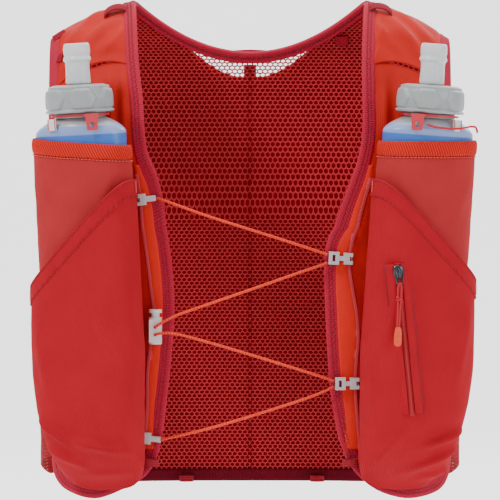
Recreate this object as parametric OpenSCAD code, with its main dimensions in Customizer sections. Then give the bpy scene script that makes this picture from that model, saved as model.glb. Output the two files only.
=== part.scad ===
// Running hydration vest: two soft flasks in stretch sleeves, stow pockets, hook-and-cord
// front lacing, a zip pocket on the wearer's left and a mesh back.
// +Z is up, the front faces -Y and the wearer's left is +X. The origin is the middle of the
// shoulder line. Inside the modules heights are counted from the front hems.

/* [Torso] */
// Half width of the torso that the vest is laid on
torso_half_w = 166; // [150:1:200]
// Depth of the chest in front of the shoulder line
chest_d = 92; // [80:1:112]
// Depth of the back behind the shoulder line
back_d = 84; // [72:1:104]
// Height of the shoulder line above the front hems
rest_h = 388; // [360:1:466]
// How square the torso's level section is
torso_power = 2.8; // [2.4:0.1:3.2]

/* [Cloth] */
// Thickness of the front panels and the yokes
panel_t = 1.2; // [0.8:0.1:1.4]
// Width of the edge binding
binding_w = 10; // [8:0.5:11]
// How far the binding stands out from the panels on each face
binding_proud = 1.2; // [0.6:0.1:1.4]
// Thickness of the back's spacer mesh
mesh_t = 2.6; // [2:0.1:3]
// Thickness of stretch cloth in the sleeves and pockets
sleeve_t = 1.2; // [0.8:0.1:1.2]

/* [Flask] */
// Half width of a flask
flask_a = 37.3; // [34:0.1:39]
// Half depth of a flask
flask_b = 22.5; // [19:0.1:24]
// Height of a flask from its base to its neck
flask_h = 196; // [180:1:205]
// Outer radius of the flask neck
neck_r = 20; // [16:0.5:21]
// Outer radius of the cap
cap_r = 27; // [25:0.5:29]
// Height of the cap
cap_h = 22; // [18:1:25]
// Radius of the bite valve at its bulge
valve_r = 10.5; // [9:0.1:11]
// Height of the bite valve above the cap
valve_h = 32; // [26:1:36]

/* [Lacing] */
// Width of a lacing rail
rail_w = 2.4; // [1.6:0.1:2.6]
// Diameter of the lacing cord
cord_d = 2; // [1.6:0.1:2.4]
// Radius of the cord lock's body
lock_r = 5; // [4.6:0.1:5.4]
// Height of the cord lock's body
lock_h = 21; // [18:1:24]
// Travel of the cord lock's plunger
lock_travel = 3; // [2:0.5:3]

/* [Loops] */
// Inner radius of the pole loops
pole_loop_r = 5; // [4:0.5:6]
// Height of the pole loops' band
pole_loop_h = 6; // [4:1:8]

/* [Hidden] */

gap = 0.5;                      // space between pieces that move past each other
seam_gap = 0.4;                 // space between sewn pieces laid edge to edge
kx = torso_half_w / 166;        // pattern outlines widen with the torso
kh = rest_h / 388;              // and lengthen with its height
arch_h = 215 * kh;              // below this the vest hangs straight down
arch_l = 195 * kh;              // pattern length from there up to the shoulder line
arch_power = 2.4;               // how square the shoulder's side view is
arm_x0 = 150 * kx;              // the arm binding runs between these two distances
arm_x1 = 158 * kx;
yoke_front = 46;                // angles over the shoulder where the yoke starts and ends
yoke_back = 112;
$fn = 48;

// ---- torso surface: [x, s] is a place on the flat pattern; s runs up the front, over the
// ---- shoulder and down the back

function clamp(v, low, high) = max(low, min(high, v));
function mix(a, b, t) = a * (1 - t) + b * t;
function oval(q, n) = pow(1 - pow(min(abs(q), 0.995), n), 1 / n);
function ridge(x) = let (d = max(0, abs(x) - 90 * kx)) rest_h - 0.2 * d - 0.0035 * d * d;
function rise(x, h) = clamp((h - arch_h) / (ridge(x) - arch_h), 0, 1);
function climb(x, h) = arch_l / 90 * asin(pow(rise(x, h), arch_power / 2));
function s_front(x, h) = h <= arch_h ? h : arch_h + climb(x, h);
function s_back(x, h) = arch_h + 2 * arch_l + max(0, arch_h - h) - (h > arch_h ? climb(x, h) : 0);
function s_angle(a) = arch_h + arch_l * a / 90;

function body_pt(q) = let (
        a = clamp((q.y - arch_h) / arch_l, 0, 2) * 90,
        depth = (a <= 90 ? -chest_d : back_d) * oval(q.x / torso_half_w, torso_power),
        up = pow(max(0, sin(a)), 2 / arch_power),
        out = pow(abs(cos(a)), 2 / arch_power),
        below = max(0, arch_h - q.y) + max(0, q.y - arch_h - 2 * arch_l))
    [q.x, depth * out, arch_h + (ridge(q.x) - arch_h) * up - below];

function normal(u, v) = let (c = cross(u, v)) c / norm(c);
function body_n(q) = normal(body_pt(q + [0.5, 0]) - body_pt(q - [0.5, 0]),
    body_pt(q + [0, 0.5]) - body_pt(q - [0, 0.5]));
function lifted(q, off) = body_pt(q) + off * body_n(q);

// The torso's flank: q is [angle from the side towards the chest, height]
function flank_pt(side, q) = [
    side * torso_half_w * pow(cos(q.x), 2 / torso_power),
    (q.x > 0 ? -chest_d : back_d) * pow(abs(sin(q.x)), 2 / torso_power),
    q.y];
function flank_n(side, q) = side * normal(
    flank_pt(side, q - [0.5, 0]) - flank_pt(side, q + [0.5, 0]),
    [0, 0, 1]);
function flank_lifted(side, q, off) = flank_pt(side, q) + off * flank_n(side, q);

// ---- paths

function catmull(a, b, c, d, t) = 0.5 * (2 * b + (c - a) * t
    + (2 * a - 5 * b + 4 * c - d) * t * t + (3 * b - a - 3 * c + d) * t * t * t);
function smooth(P, m) = concat(
    [for (i = [0:len(P) - 2], k = [0:m - 1])
        catmull(P[max(i - 1, 0)], P[i], P[i + 1], P[min(i + 2, len(P) - 1)], k / m)],
    [P[len(P) - 1]]);
function on_front(P) = [for (p = P) [p.x * kx, s_front(p.x * kx, p.y * kh)]];
// Moves a path sideways, to its left for d > 0
function beside(P, d) = [for (i = [0:len(P) - 1])
    let (t = P[min(i + 1, len(P) - 1)] - P[max(i - 1, 0)], u = t / norm(t))
    P[i] + d * [-u.y, u.x]];
function spot(P, f) = let (g = clamp(f, 0, 1) * (len(P) - 1), i = min(floor(g), len(P) - 2))
    mix(P[i], P[i + 1], g - i);
function part_of(P, f0, f1, n) = [for (k = [0:n]) spot(P, mix(f0, f1, k / n))];
function ruled(L, R, n) = [for (k = [0:len(L) - 1]) [for (j = [0:n]) mix(L[k], R[k], j / n)]];

// ---- closed skins and tubes

function skin_faces(rows, cols, turn) = let (
        in = rows * cols,
        o = function(i, j) i * cols + j,
        quad = function(a, b, c, d) turn ? [[a, c, b], [a, d, c]] : [[a, b, c], [a, c, d]])
    [for (cell = concat(
        [for (i = [0:rows - 2], j = [0:cols - 2])
            quad(o(i, j), o(i + 1, j), o(i + 1, j + 1), o(i, j + 1))],
        [for (i = [0:rows - 2], j = [0:cols - 2])
            quad(in + o(i, j), in + o(i, j + 1), in + o(i + 1, j + 1), in + o(i + 1, j))],
        [for (j = [0:cols - 2]) quad(o(0, j), o(0, j + 1), in + o(0, j + 1), in + o(0, j))],
        [for (j = [0:cols - 2]) let (i = rows - 1)
            quad(o(i, j + 1), o(i, j), in + o(i, j), in + o(i, j + 1))],
        [for (i = [0:rows - 2]) quad(o(i + 1, 0), o(i, 0), in + o(i, 0), in + o(i + 1, 0))],
        [for (i = [0:rows - 2]) let (j = cols - 1)
            quad(o(i, j), o(i + 1, j), in + o(i + 1, j), in + o(i, j))])) each cell];

// A closed skin between an outer and an inner grid of points
module skin(outer, inner) {
    out = outer[0][0] - inner[0][0];
    facing = cross(outer[0][1] - outer[0][0], outer[1][0] - outer[0][0]) * out;
    polyhedron([each each outer, each each inner],
        skin_faces(len(outer), len(outer[0]), facing < 0), convexity = 6);
}

module cloth(grid, low, high) {
    skin([for (row = grid) [for (q = row) lifted(q, high)]],
        [for (row = grid) [for (q = row) lifted(q, low)]]);
}

// A round tube along points, with its own frame carried from ring to ring
module tube(P, d, sides) {
    n = len(P);
    T = [for (i = [0:n - 1]) let (t = P[min(i + 1, n - 1)] - P[max(i - 1, 0)]) t / norm(t)];
    side = [for (t = T) let (c = cross(t, abs(t.z) < 0.8 ? [0, 0, 1] : [0, 1, 0])) c / norm(c)];
    rings = [for (i = [0:n - 1]) let (u = side[i], v = cross(T[i], u))
        [for (k = [0:sides - 1]) P[i] + d / 2 * (cos(360 * k / sides) * u + sin(360 * k / sides) * v)]];
    walls = [for (i = [0:n - 2], k = [0:sides - 1]) let (a = i * sides + k,
        b = i * sides + (k + 1) % sides) each [[a, b, b + sides], [a, b + sides, a + sides]]];
    ends = [[for (k = [sides - 1:-1:0]) k], [for (k = [0:sides - 1]) (n - 1) * sides + k]];
    polyhedron([each each rings], [for (f = concat(walls, ends)) [for (k = [len(f) - 1:-1:0]) f[k]]]);
}

module at_rest() { translate([0, 0, -rest_h]) children(); }

// ---- outlines of the front, as [x, height]; side is -1 on the wearer's right, 1 on the left

EDGE_R = [[-91, 388], [-88, 352], [-84, 314], [-81, 277], [-72, 253], [-66, 222], [-61, 185],
    [-59, 150], [-61, 118], [-65, 80], [-70, 44], [-80, 21], [-100, 8], [-122, 0], [-143, 5],
    [-153, 15], [-156, 30]];
EDGE_L = [[91, 388], [88, 352], [88, 318], [88, 288], [83, 263], [73, 236], [62, 208],
    [58, 188], [59, 145], [62, 95], [66, 65], [71, 44], [80, 25], [94, 11], [110, 3], [128, 0],
    [148, 5], [156, 16], [158, 30]];
RAIL_R = [[-88, 256], [-85.5, 240], [-81, 200], [-77, 168], [-75, 150], [-77, 125], [-79.5, 100],
    [-80, 74], [-81.7, 46], [-84, 36]];
RAIL_L = [[94, 252], [87, 230], [80, 206], [77, 187], [79, 170], [83, 145], [84, 126],
    [82, 102], [82, 84], [84, 58], [86, 38]];
OUT_R = [[-149.6, 250], [-149.6, 204], [-155.6, 198], [-155.6, 70], [-155, 42], [-144, 34],
    [-142, 20], [-128, 11]];
OUT_L = [[149.6, 250], [149.6, 204], [155.6, 198], [155.6, 70], [155, 42], [146, 34],
    [145, 20], [133, 11]];

function edge(side) = smooth(on_front(side < 0 ? EDGE_R : EDGE_L), 3);
function rail(side) = smooth(on_front(side < 0 ? RAIL_R : RAIL_L), 3);
// The binding lies on the panel's side of the edge, which is to the right going down on the
// wearer's right and to the left going down on the wearer's left
function inset(side, d) = beside(edge(side), side * d);
function neckline() = [for (k = [-12:12]) let (x = 91 * kx * sin(k * 7.5),
    h = rest_h - 40 * kh + 40 * kh * pow(x / (91 * kx), 2)) [x, s_back(x, h)]];
// On the falling part of an edge: its share at pattern height s, and its x there
function falling(P) = [for (k = [0:floor(len(P) * 0.66)]) P[k]];
function share_at(P, s) = lookup(-s,
    [for (k = [0:len(falling(P)) - 1]) [-P[k].y, k / (len(P) - 1)]]);
function x_at(P, s) = spot(P, share_at(P, s)).x;
tip_r = 0.81;                   // shares of the edge's length where the bottom tip lies
tip_l = 0.83;

module front_panel(side) {
    tip = side < 0 ? tip_r : tip_l;
    seam = s_angle(yoke_front);
    path = inset(side, binding_w + 2 * seam_gap);
    inner = part_of(path, share_at(path, seam), tip, 26);
    top = [side * (arm_x0 - seam_gap), seam];
    outer = part_of(concat([top], on_front(side < 0 ? OUT_R : OUT_L)), 0, 1, 26);
    cloth(ruled(inner, outer, 8), 0, panel_t);
}

module front_binding(side) {
    n = 44;
    cloth(ruled(part_of(inset(side, 0), 0, 1, n), part_of(inset(side, binding_w), 0, 1, n), 1),
        -binding_proud, panel_t + binding_proud);
}

module knit_strip(side) {
    near = inset(side, binding_w + 2 * seam_gap);
    far = rail(side);
    rows = [for (k = [0:22]) mix(40, 242, k / 22) * kh];
    cloth(ruled([for (s = rows) [x_at(near, s), s]],
        [for (s = rows) [lookup(s, [for (k = [len(far) - 1:-1:0]) [far[k].y, far[k].x]])
            + side * (rail_w / 2 + 1), s]], 2), panel_t + 0.2, panel_t + 1);
}

rail_low = 4.4;                 // the rail floats this far off the panel, between its tacks
rail_high = 5.6;
module rail_line(side) {
    path = part_of(rail(side), 0, 1, 27);
    cloth(ruled(beside(path, rail_w / 2), beside(path, -rail_w / 2), 1), rail_low, rail_high);
    for (f = side < 0 ? [0, 0.42, 0.5, 0.6, 0.97] : [0, 0.14, 0.52, 0.64, 0.97]) {
        tack = part_of(path, f, f + 0.03, 1);
        cloth(ruled(beside(tack, rail_w / 2 + 0.4), beside(tack, -rail_w / 2 - 0.4), 1),
            panel_t + 1.2, rail_low + 0.4);
    }
}

module yoke(side) {
    n = 14;
    angles = [for (k = [0:n]) mix(yoke_front + 1, yoke_back - 1, k / n)];
    front = inset(side, binding_w + 2 * seam_gap);
    collar = beside(neckline(), binding_w + seam_gap);
    behind = [for (k = [0:9]) let (p = collar[side < 0 ? k : 24 - k]) [p.y, p.x]];
    inner = [for (a = angles) let (s = s_angle(a)) [a < 90 ? x_at(front, s) : lookup(s, behind), s]];
    outer = [for (a = angles) [side * (arm_x0 - seam_gap), s_angle(a)]];
    cloth(ruled(inner, outer, 5), 0, panel_t);
}

module neck_binding() {
    cloth(ruled(neckline(), beside(neckline(), binding_w), 1), -binding_proud,
        mesh_t + binding_proud);
}

module collar_patch() {
    x = 74 * kx;
    s = s_back(x, ridge(x) - 26);
    cloth(ruled([[x - 5, s], [x + 5, s]], [[x - 5, s + 10], [x + 5, s + 10]], 1), -1.8, -1.1);
}

module arm_binding(side) {
    n = 26;
    path = [for (k = [0:n]) s_angle(180 * k / n)];
    cloth([for (s = path) [[side * arm_x0, s], [side * arm_x1, s]]],
        -binding_proud, panel_t + binding_proud);
    under = [for (k = [0:8]) mix(28, -28, k / 8)];
    skin([for (a = under) [for (h = [arch_h - 9, arch_h - 1]) flank_lifted(side, [a, h], 2.4)]],
        [for (a = under) [for (h = [arch_h - 9, arch_h - 1]) flank_lifted(side, [a, h], -1.2)]]);
}

back_rise = 10;                 // height of the back's bottom edge above the front hems
module side_panel(side) {
    front_low = 32 * kh;
    angles = [for (k = [0:8]) mix(22.4, -29.2, k / 8)];
    grid = [for (a = angles) let (low = mix(front_low, back_rise, clamp((22.4 - a) / 40, 0, 1)))
        [for (k = [0:6]) [a, mix(low, arch_h - 9 - seam_gap, k / 6)]]];
    skin([for (row = grid) [for (q = row) flank_lifted(side, q, panel_t)]],
        [for (row = grid) [for (q = row) flank_lifted(side, q, 0)]]);
}

// ---- back

// Pattern place of the mesh's bottom edge
back_bottom = arch_h + 2 * arch_l + arch_h - back_rise;
function mesh_top(x) = max(
    lookup(x, beside(neckline(), binding_w + 3 * seam_gap)), s_angle(yoke_back));
function shell_top(x) = s_back(x, abs(x) < 56 * kx
    ? (326 + 32 * pow(x / (56 * kx), 2)) * kh
    : (358 - 0.35 * (abs(x) / kx - 56)) * kh);
function back_grid(x1, top, n) = [for (k = [0:n]) [for (j = [-12:12])
    let (x = x1 * j / 12) [x, mix(back_bottom, top(x), k / n)]]];

module back_mesh() {
    cloth(back_grid(arm_x0 - seam_gap, function(x) mesh_top(x), 16), 0, mesh_t);
}

module back_shell() {
    cloth(back_grid(arm_x0 - 2, function(x) shell_top(x), 14), mesh_t + 0.8, mesh_t + 2);
}

module back_hem() {
    hem = back_bottom + seam_gap;
    cloth([for (s = [hem, hem + binding_w]) [for (j = [-12:12]) [arm_x0 * j / 12, s]]],
        -0.8, mesh_t + 2.6);
}

module back_strap() {
    top = s_back(0, rest_h - 52 * kh);
    cloth(ruled([for (k = [0:6]) [-5, top + 13 * k]], [for (k = [0:6]) [5, top + 13 * k]], 1),
        mesh_t + 2.3, mesh_t + 3.5);
}

module hang_loop() {
    top = s_back(0, rest_h - 45 * kh);
    arc = [for (k = [0:12]) let (a = 180 * k / 12) [14 * cos(a), 7.5 * sin(a)]];
    outer = [for (p = arc) [for (x = [-4, 4]) lifted([p.x * 1.6, top + x * 0.6], 4.6 + p.y)]];
    inner = [for (p = arc) [for (x = [-4, 4]) lifted([p.x * 1.45, top + x * 0.6], 4 + p.y * 0.86)]];
    skin(outer, inner);
}

// ---- flasks, sleeves and pockets, in a frame on each flask's base

flask_yaw = 22;
flask_back_lean = 1.5;
function flask_lean(side) = side < 0 ? -3 : 4;
// Centre of the flask's base: a flask depth off the panel, along the yaw
function flask_foot(side) = let (
        x = side < 0 ? -112 * kx : 116 * kx,
        off = panel_t + 4 + flask_b)
    [x + side * off * sin(flask_yaw), body_pt([x, 0]).y - off * cos(flask_yaw), 105 * kh];

module in_flask(side) {
    translate(flask_foot(side)) rotate([-flask_back_lean, flask_lean(side), 0])
        rotate([0, 0, side * flask_yaw]) children();
}

function arc_angles(n) = [for (k = [0:n]) mix(-130, 130, k / n)];
// One point of a sleeve's level section. The front is a superellipse of half width a, reaching
// to y = front from its centre line at y = mid, and legs run back to y = seat.
function wrap_pt(t, a, front, mid, seat, n) = let (k = clamp((abs(t) - 90) / 40, 0, 1), w = sign(t))
    abs(t) <= 90
    ? [w * a * pow(abs(sin(t)), 2 / n), mid + (front - mid) * pow(max(0, cos(t)), 2 / n)]
    : [w * a * (1 - 0.24 * pow(k, 1.6)), mix(mid, seat, k)];

sleeve_fit = 1;                 // room between a flask and its sleeve
seat_y = flask_b + 2.6;         // where the cloth meets the front panel

function sleeve_pt(t, z, grow) = let (
        close = z < 0 ? oval(z / 8, 2) : 1,
        a = (flask_a + sleeve_fit) * close + grow,
        b = (flask_b + sleeve_fit) * close + grow,
        p = wrap_pt(t, a, -b, 0, seat_y, 2.2)) [p.x, p.y, z];
hem_h = 12;                     // height of the sleeve's elastic top hem
function sleeve_top(side, x) = (side < 0 ? 181 - 0.13 * x : 182 + 0.07 * x) * kh;

function top_at(side, t) = sleeve_top(side, flask_a * sin(clamp(t, -90, 90)));
function sleeve_grid(side, grow) = [for (k = [0:9]) [for (t = arc_angles(20))
    let (z = k < 4 ? [-7.6, -6.4, -3.6, 0][k] : mix(0, top_at(side, t) - hem_h - 0.3, (k - 3) / 6))
    sleeve_pt(t, z, grow)]];
function hem_grid(side, grow) = [for (k = [0:2]) [for (t = arc_angles(20))
    sleeve_pt(t, top_at(side, t) - hem_h + k / 2 * hem_h, grow)]];

module sleeve(side) {
    in_flask(side) skin(sleeve_grid(side, sleeve_t), sleeve_grid(side, 0));
}

module sleeve_hem(side) {
    in_flask(side) skin(hem_grid(side, sleeve_t + 1), hem_grid(side, 0));
}

// Stow pocket: half widths towards the chest and the flank, and front face, by height
pocket_low = -88;               // its bottom hem, below the flask's base
POCKET_IN = [[-88, 27], [-72, 31], [-45, 34], [-15, 38], [10, 41], [100, 41]];
POCKET_OUT = [[-88, 33], [-60, 41], [-30, 45], [0, 47], [30, 46], [80, 42], [100, 41]];
POCKET_FRONT = [[-88, 14], [-78, -2], [-62, -14], [-35, -22.8], [82, -29], [150, -32]];
pocket_power = 3;
function pocket_pt(side, t, z, grow) = let (
        inner = t * side < 0,
        a = lookup(z, inner ? POCKET_IN : POCKET_OUT) + flask_a - 37.3 + grow,
        front = lookup(z, POCKET_FRONT) - flask_b + 22.5 - grow,
        mid = lookup(z, [[-88, 20], [-50, 8], [0, 0]]),
        p = wrap_pt(t, a, front, mid, seat_y, pocket_power)) [p.x, p.y, z];
// Its mouth slopes up towards the chest
function pocket_top(side, x) = side < 0
    ? mix(64, 146, clamp((x + 41) / 82, 0, 1)) : mix(146, 70, clamp((x + 41) / 82, 0, 1));
function pocket_grid(side, grow) = [for (k = [0:12]) [for (t = arc_angles(24))
    let (top = pocket_top(side, 41 * sin(clamp(t, -90, 90))),
        z = mix(pocket_low, top, k / 12)) pocket_pt(side, t, z, grow)]];

module stow_pocket(side) {
    in_flask(side) skin(pocket_grid(side, sleeve_t), pocket_grid(side, 0));
}

// Flask bag: level ellipses, rounded at the foot and drawn in to the neck
function bag_scale(z) = z < 10 ? 0.55 + 0.45 * oval(1 - z / 10, 2)
    : z < flask_h - 12 ? 1
    : mix(1, 0.56, pow((z - flask_h + 12) / 12, 1.6));
module flask(side) {
    zs = concat([0, 1, 3, 6, 10], [for (k = [1:5]) mix(10, flask_h - 12, k / 5)],
        [for (k = [1:4]) flask_h - 12 + 3 * k]);
    n = 40;
    rings = [for (z = zs) let (g = bag_scale(z), round = clamp((z - flask_h + 12) / 12, 0, 1),
        b = mix(flask_b, flask_a, round * 0.6) * g)
        [for (k = [0:n - 1]) [flask_a * g * cos(360 * k / n), b * sin(360 * k / n), z]]];
    walls = [for (i = [0:len(zs) - 2], k = [0:n - 1]) let (a = i * n + k, b = i * n + (k + 1) % n)
        each [[a, b + n, b], [a, a + n, b + n]]];
    ends = [[for (k = [0:n - 1]) k], [for (k = [n - 1:-1:0]) (len(zs) - 1) * n + k]];
    in_flask(side) polyhedron([each each rings], concat(walls, ends));
}

neck_h = 15;                    // height of the threaded neck above the bag
cap_low = flask_h + 4;          // lower edge of the cap
module neck(side) {
    in_flask(side) translate([0, 0, flask_h + 0.1]) difference() {
        cylinder(r = neck_r, h = neck_h);
        translate([0, 0, -1]) cylinder(r = neck_r - 3, h = neck_h + 2);
    }
}

// Tether: a ring round the neck with a holed tag that hangs in front
tag_w = 11;
tag_y = 29.2;
tag_turn = 41;                  // the tag hangs this far round, towards the chest
module tether(side) {
    in_flask(side) rotate([0, 0, -side * tag_turn]) {
        translate([0, 0, flask_h + 1.2]) difference() {
            cylinder(r = neck_r + 3, h = 1.8);
            translate([0, 0, -1]) cylinder(r = neck_r + 0.4, h = 4);
        }
        translate([0, -tag_y, flask_h - 10]) rotate([90, 0, 0]) linear_extrude(1.4)
            difference() {
                polygon([[-tag_w / 2, 13], [tag_w / 2, 13], [tag_w * 0.36, 0], [-tag_w * 0.36, 0]]);
                translate([0, 4.5]) circle(r = 2.2);
            }
        translate([-tag_w / 2, -tag_y - 0.4, flask_h + 1.2]) cube([tag_w, tag_y - neck_r - 1, 1.8]);
    }
}

module ribbon_tab(side) {
    in_flask(side) translate([side * 14, -flask_b - 0.7, flask_h - 9])
        rotate([0, 0, side * 16]) translate([-4, -0.6, 0]) cube([8, 1, 9]);
}

TETHER_ROUTE = [[-12.6, -25.6, 190.6], [-6, -26.8, 189.4], [2, -27, 189], [9, -26.9, 189],
    [18, -25.4, 190], [26, -21.4, 191.5], [31.5, -18.4, 191.5], [34, -16.4, 189.5],
    [35, -15.6, 187.2]];
module tether_cord() {
    in_flask(1) translate([0, 0, flask_h - 196]) tube(smooth(TETHER_ROUTE, 4), 1.6, 8);
}

module cap(side) {
    top = 3;
    in_flask(side) translate([0, 0, cap_low]) difference() {
        rotate_extrude() polygon([[0, 0], [cap_r - 1.2, 0], [cap_r, 1.2], [cap_r, cap_h - 5],
            [cap_r - 3.5, cap_h], [0, cap_h]]);
        translate([0, 0, -1]) cylinder(r = neck_r + 0.4, h = cap_h - top + 1);
        translate([0, 0, -1]) cylinder(r = valve_stem_r + 0.4, h = cap_h + 2);
        for (a = [0:60:300]) rotate([0, 0, a + 30]) translate([cap_r + 7.2, 0, -1])
            cylinder(r = 8, h = cap_h + 2);
    }
}

valve_stem_r = 5.6;
valve_pull = 4;                 // how far the valve pulls out to open
module valve(side) {
    z = valve_h;
    in_flask(side) translate([0, 0, cap_low + cap_h + 0.3]) rotate_extrude() difference() {
        polygon([[0, -5.5], [valve_stem_r, -5.5], [valve_stem_r, 0], [valve_r - 1.5, 0],
            [valve_r - 1.5, 3], [valve_r - 3, 6], [valve_r - 3, z * 0.36], [valve_r, z * 0.5],
            [valve_r, z * 0.6], [valve_r - 2, z * 0.76], [valve_r - 2, z - 2],
            [valve_r - 4, z], [0, z]]);
        translate([0, -10]) square([1.6, z + 20]);
    }
}

// ---- lacing: hooks that ride the rails, cord and cord lock

// A frame on a rail: x towards the chest's middle, -y away from the body, z along the rail
hook_lift = (rail_low + rail_high) / 2;
function hook_place(side, x, h) = lifted([x * kx, s_front(x * kx, h * kh)], hook_lift);
function hook_yaw(side, x, h) = let (n = body_n([x * kx, s_front(x * kx, h * kh)])) atan2(n.x, -n.y);
HOOKS = [[-1, -85, 236, -7], [-1, -81.4, 49, 5], [1, 77, 190, 3], [1, 82, 92, 0]];

module in_hook(k) {
    side = HOOKS[k][0];
    x = HOOKS[k][1];
    h = HOOKS[k][2];
    translate(hook_place(side, x, h)) rotate([0, 0, hook_yaw(side, x, h)])
        rotate([0, HOOKS[k][3], 0]) scale_side(side) children();
}
module scale_side(side) { if (side > 0) mirror([1, 0, 0]) children(); else children(); }

clip_h = 9;                     // height of the clip along the rail
clip_d = 4.8;                   // its depth
module rail_clip() {
    difference() {
        translate([-2.6, -clip_d / 2, -clip_h / 2]) cube([7, clip_d, clip_h]);
        translate([-3.6, -(rail_high - rail_low) / 2 - gap, -clip_h / 2 - 1])
            cube([rail_w / 2 + 4.8, rail_high - rail_low + 2 * gap, clip_h + 2]);
        translate([-3.6, -clip_d, -1.6]) cube([3.4, clip_d, 3.2]);
    }
}

module cord_eye(x0, length, r) {
    translate([x0, 0, 0]) rotate([0, 90, 0]) difference() {
        cylinder(r = r, h = length);
        translate([0, 0, 2]) cylinder(r = cord_d / 2 + 0.3, h = length);
    }
}

// Wearer's right: forked clip with a slim barrel
module hook_forked(k) {
    in_hook(k) {
        rail_clip();
        cord_eye(4.3, 8, 2.3);
    }
}

// Wearer's left: clip with a square plate
module hook_square(k) {
    in_hook(k) {
        rail_clip();
        translate([4.2, -2, -1.8]) cube([4.2, 3.2, 3.6]);
        translate([8.2, -2.2, -5]) difference() {
            cube([8, 3.6, 10]);
            translate([3, -1, 2.4]) cube([2.4, 6, 5.2]);
        }
    }
}

LACE_TOP = [[-72.6, -93.8, 237.5], [-62, -97, 234], [-35, -101, 224.5], [-5, -103, 215],
    [25, -102.5, 205.5], [46, -98.5, 198.5], [56, -95.8, 195], [60.4, -95.2, 193.4]];
LACE_LOCK_UPPER = [[60.4, -95.2, 187], [54, -97, 184.5], [40, -100, 180], [5, -104, 168],
    [-30, -105.5, 156], [-56, -107, 147], [-66, -108.6, 142.4], [-72, -109, 138.8],
    [-74, -107.4, 137.2], [-74.2, -104.4, 137]];
LACE_LOCK_LOWER = [[-74.2, -104.4, 131], [-73.8, -107.6, 131.2], [-70, -109, 132.4],
    [-58, -107.6, 132], [-30, -105.5, 124.5], [5, -104, 114], [40, -101, 103], [58, -96.4, 97],
    [65.4, -94.4, 94.4]];
LACE_BOTTOM = [[65.4, -94.4, 89.6], [58, -96.6, 86], [40, -100, 79.5], [5, -103, 68.5],
    [-30, -101.5, 58], [-55, -97.5, 51.5], [-70, -93.8, 48]];
module lace(route) { tube(smooth([for (p = route) [p.x * kx, p.y * chest_d / 92, p.z * kh]], 4),
    cord_d, 8); }

lock_x = -72.5;
lock_z = 123.5;                 // bottom of the lock's body
lock_off = 11.2;                 // its axis stands this far off the panel
module in_lock() {
    place = lifted([lock_x * kx, lock_z * kh], lock_off);
    translate(place) children();
}
function lock_bore() = lock_r - 1.5;

module lock_body() {
    in_lock() difference() {
        union() {
            cylinder(r = lock_r, h = lock_h);
            translate([-lock_r, -lock_r, 1.5]) cube([2 * lock_r, lock_r, lock_h - 3]);
        }
        translate([0, 0, 2.5]) cylinder(r = lock_bore(), h = lock_h);
        for (z = [7.5, 13.5]) translate([0, lock_r + 2, z]) rotate([90, 0, 0])
            cylinder(r = cord_d / 2 + 0.3, h = 3 * lock_r);
    }
}

plunger_foot = 12;              // height of the plunger's foot at rest, over the spring
module lock_plunger() {
    in_lock() {
        translate([0, 0, plunger_foot]) difference() {
            cylinder(r = lock_bore() - 0.3, h = lock_h - plunger_foot + lock_travel + 0.9);
            translate([0, 10, 4.5]) rotate([90, 0, 0]) cylinder(r = cord_d / 2 + 0.3, h = 20);
        }
        translate([0, 0, lock_h + lock_travel + 0.5]) cylinder(r = lock_r, h = 2.6);
    }
}

module lock_spring() {
    wire = 0.8;
    turns = 4;
    low = 2.5 + wire / 2 + 0.05;
    high = plunger_foot - wire / 2 - 0.05;
    r = lock_bore() - wire / 2 - 0.5;
    in_lock() tube([for (k = [0:12 * turns]) let (a = 30 * k)
        [r * cos(a), r * sin(a), mix(low, high, k / (12 * turns))]], wire, 6);
}

// ---- zip, on the left stow pocket, in that flask's frame

ZIP_TOP = [-30, -24.6, 82];
ZIP_END = [-7.5, -22.7, -35];
zip_len = norm(ZIP_END - ZIP_TOP);
zip_swing = -14;                // turn about its own line, to face off the pocket
module in_zip() {
    d = (ZIP_END - ZIP_TOP) / zip_len;
    ry = asin(-d.x);
    rx = asin(d.y / cos(ry));
    in_flask(1) translate(ZIP_TOP) rotate([rx, ry, 0]) rotate([0, 0, zip_swing])
        translate([0, flask_b > 22.5 ? 22.5 - flask_b : 0, 0]) children();
}

module zip_tape() {
    half = 5;
    grid = function(grow) [for (k = [0:14]) let (f = k / 14, z = mix(ZIP_TOP.z - 2, ZIP_END.z, f),
        x = mix(ZIP_TOP.x, ZIP_END.x, f)) [for (w = [-half, 0, half])
            let (t = -asin(pow(clamp(-(x + w) / 42, 0, 1), pocket_power / 2)))
            pocket_pt(1, t, z, grow)]];
    in_flask(1) skin(grid(sleeve_t + 1), grid(sleeve_t + 0.3));
}

coil_lift = 5.6;                // height of the coil's middle over the zip line
module zip_coil() {
    teeth = 40;
    in_zip() translate([0, -coil_lift, 0]) {
        translate([-0.6, -0.5, -zip_len]) cube([1.2, 1, zip_len]);
        for (k = [0:teeth - 1]) translate([-1.5, -0.8, -(k + 0.7) * zip_len / teeth])
            cube([3, 1.6, zip_len / teeth * 0.5]);
    }
}

slider_l = 11;
module zip_slider() {
    in_zip() translate([0, -coil_lift, -slider_l - 1]) difference() {
        union() {
            translate([-4.2, -1.9, 0]) cube([8.4, 3.6, slider_l]);
            translate([-1.4, -4.6, 1.5]) cube([2.8, 3, 8]);
        }
        translate([-1.5 - gap, -0.8 - gap / 2, -1]) cube([3 + 2 * gap, 1.6 + gap, slider_l + 2]);
        translate([-3, -3.6, 3.4]) cube([6, 1.7, 4]);
    }
}

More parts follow.
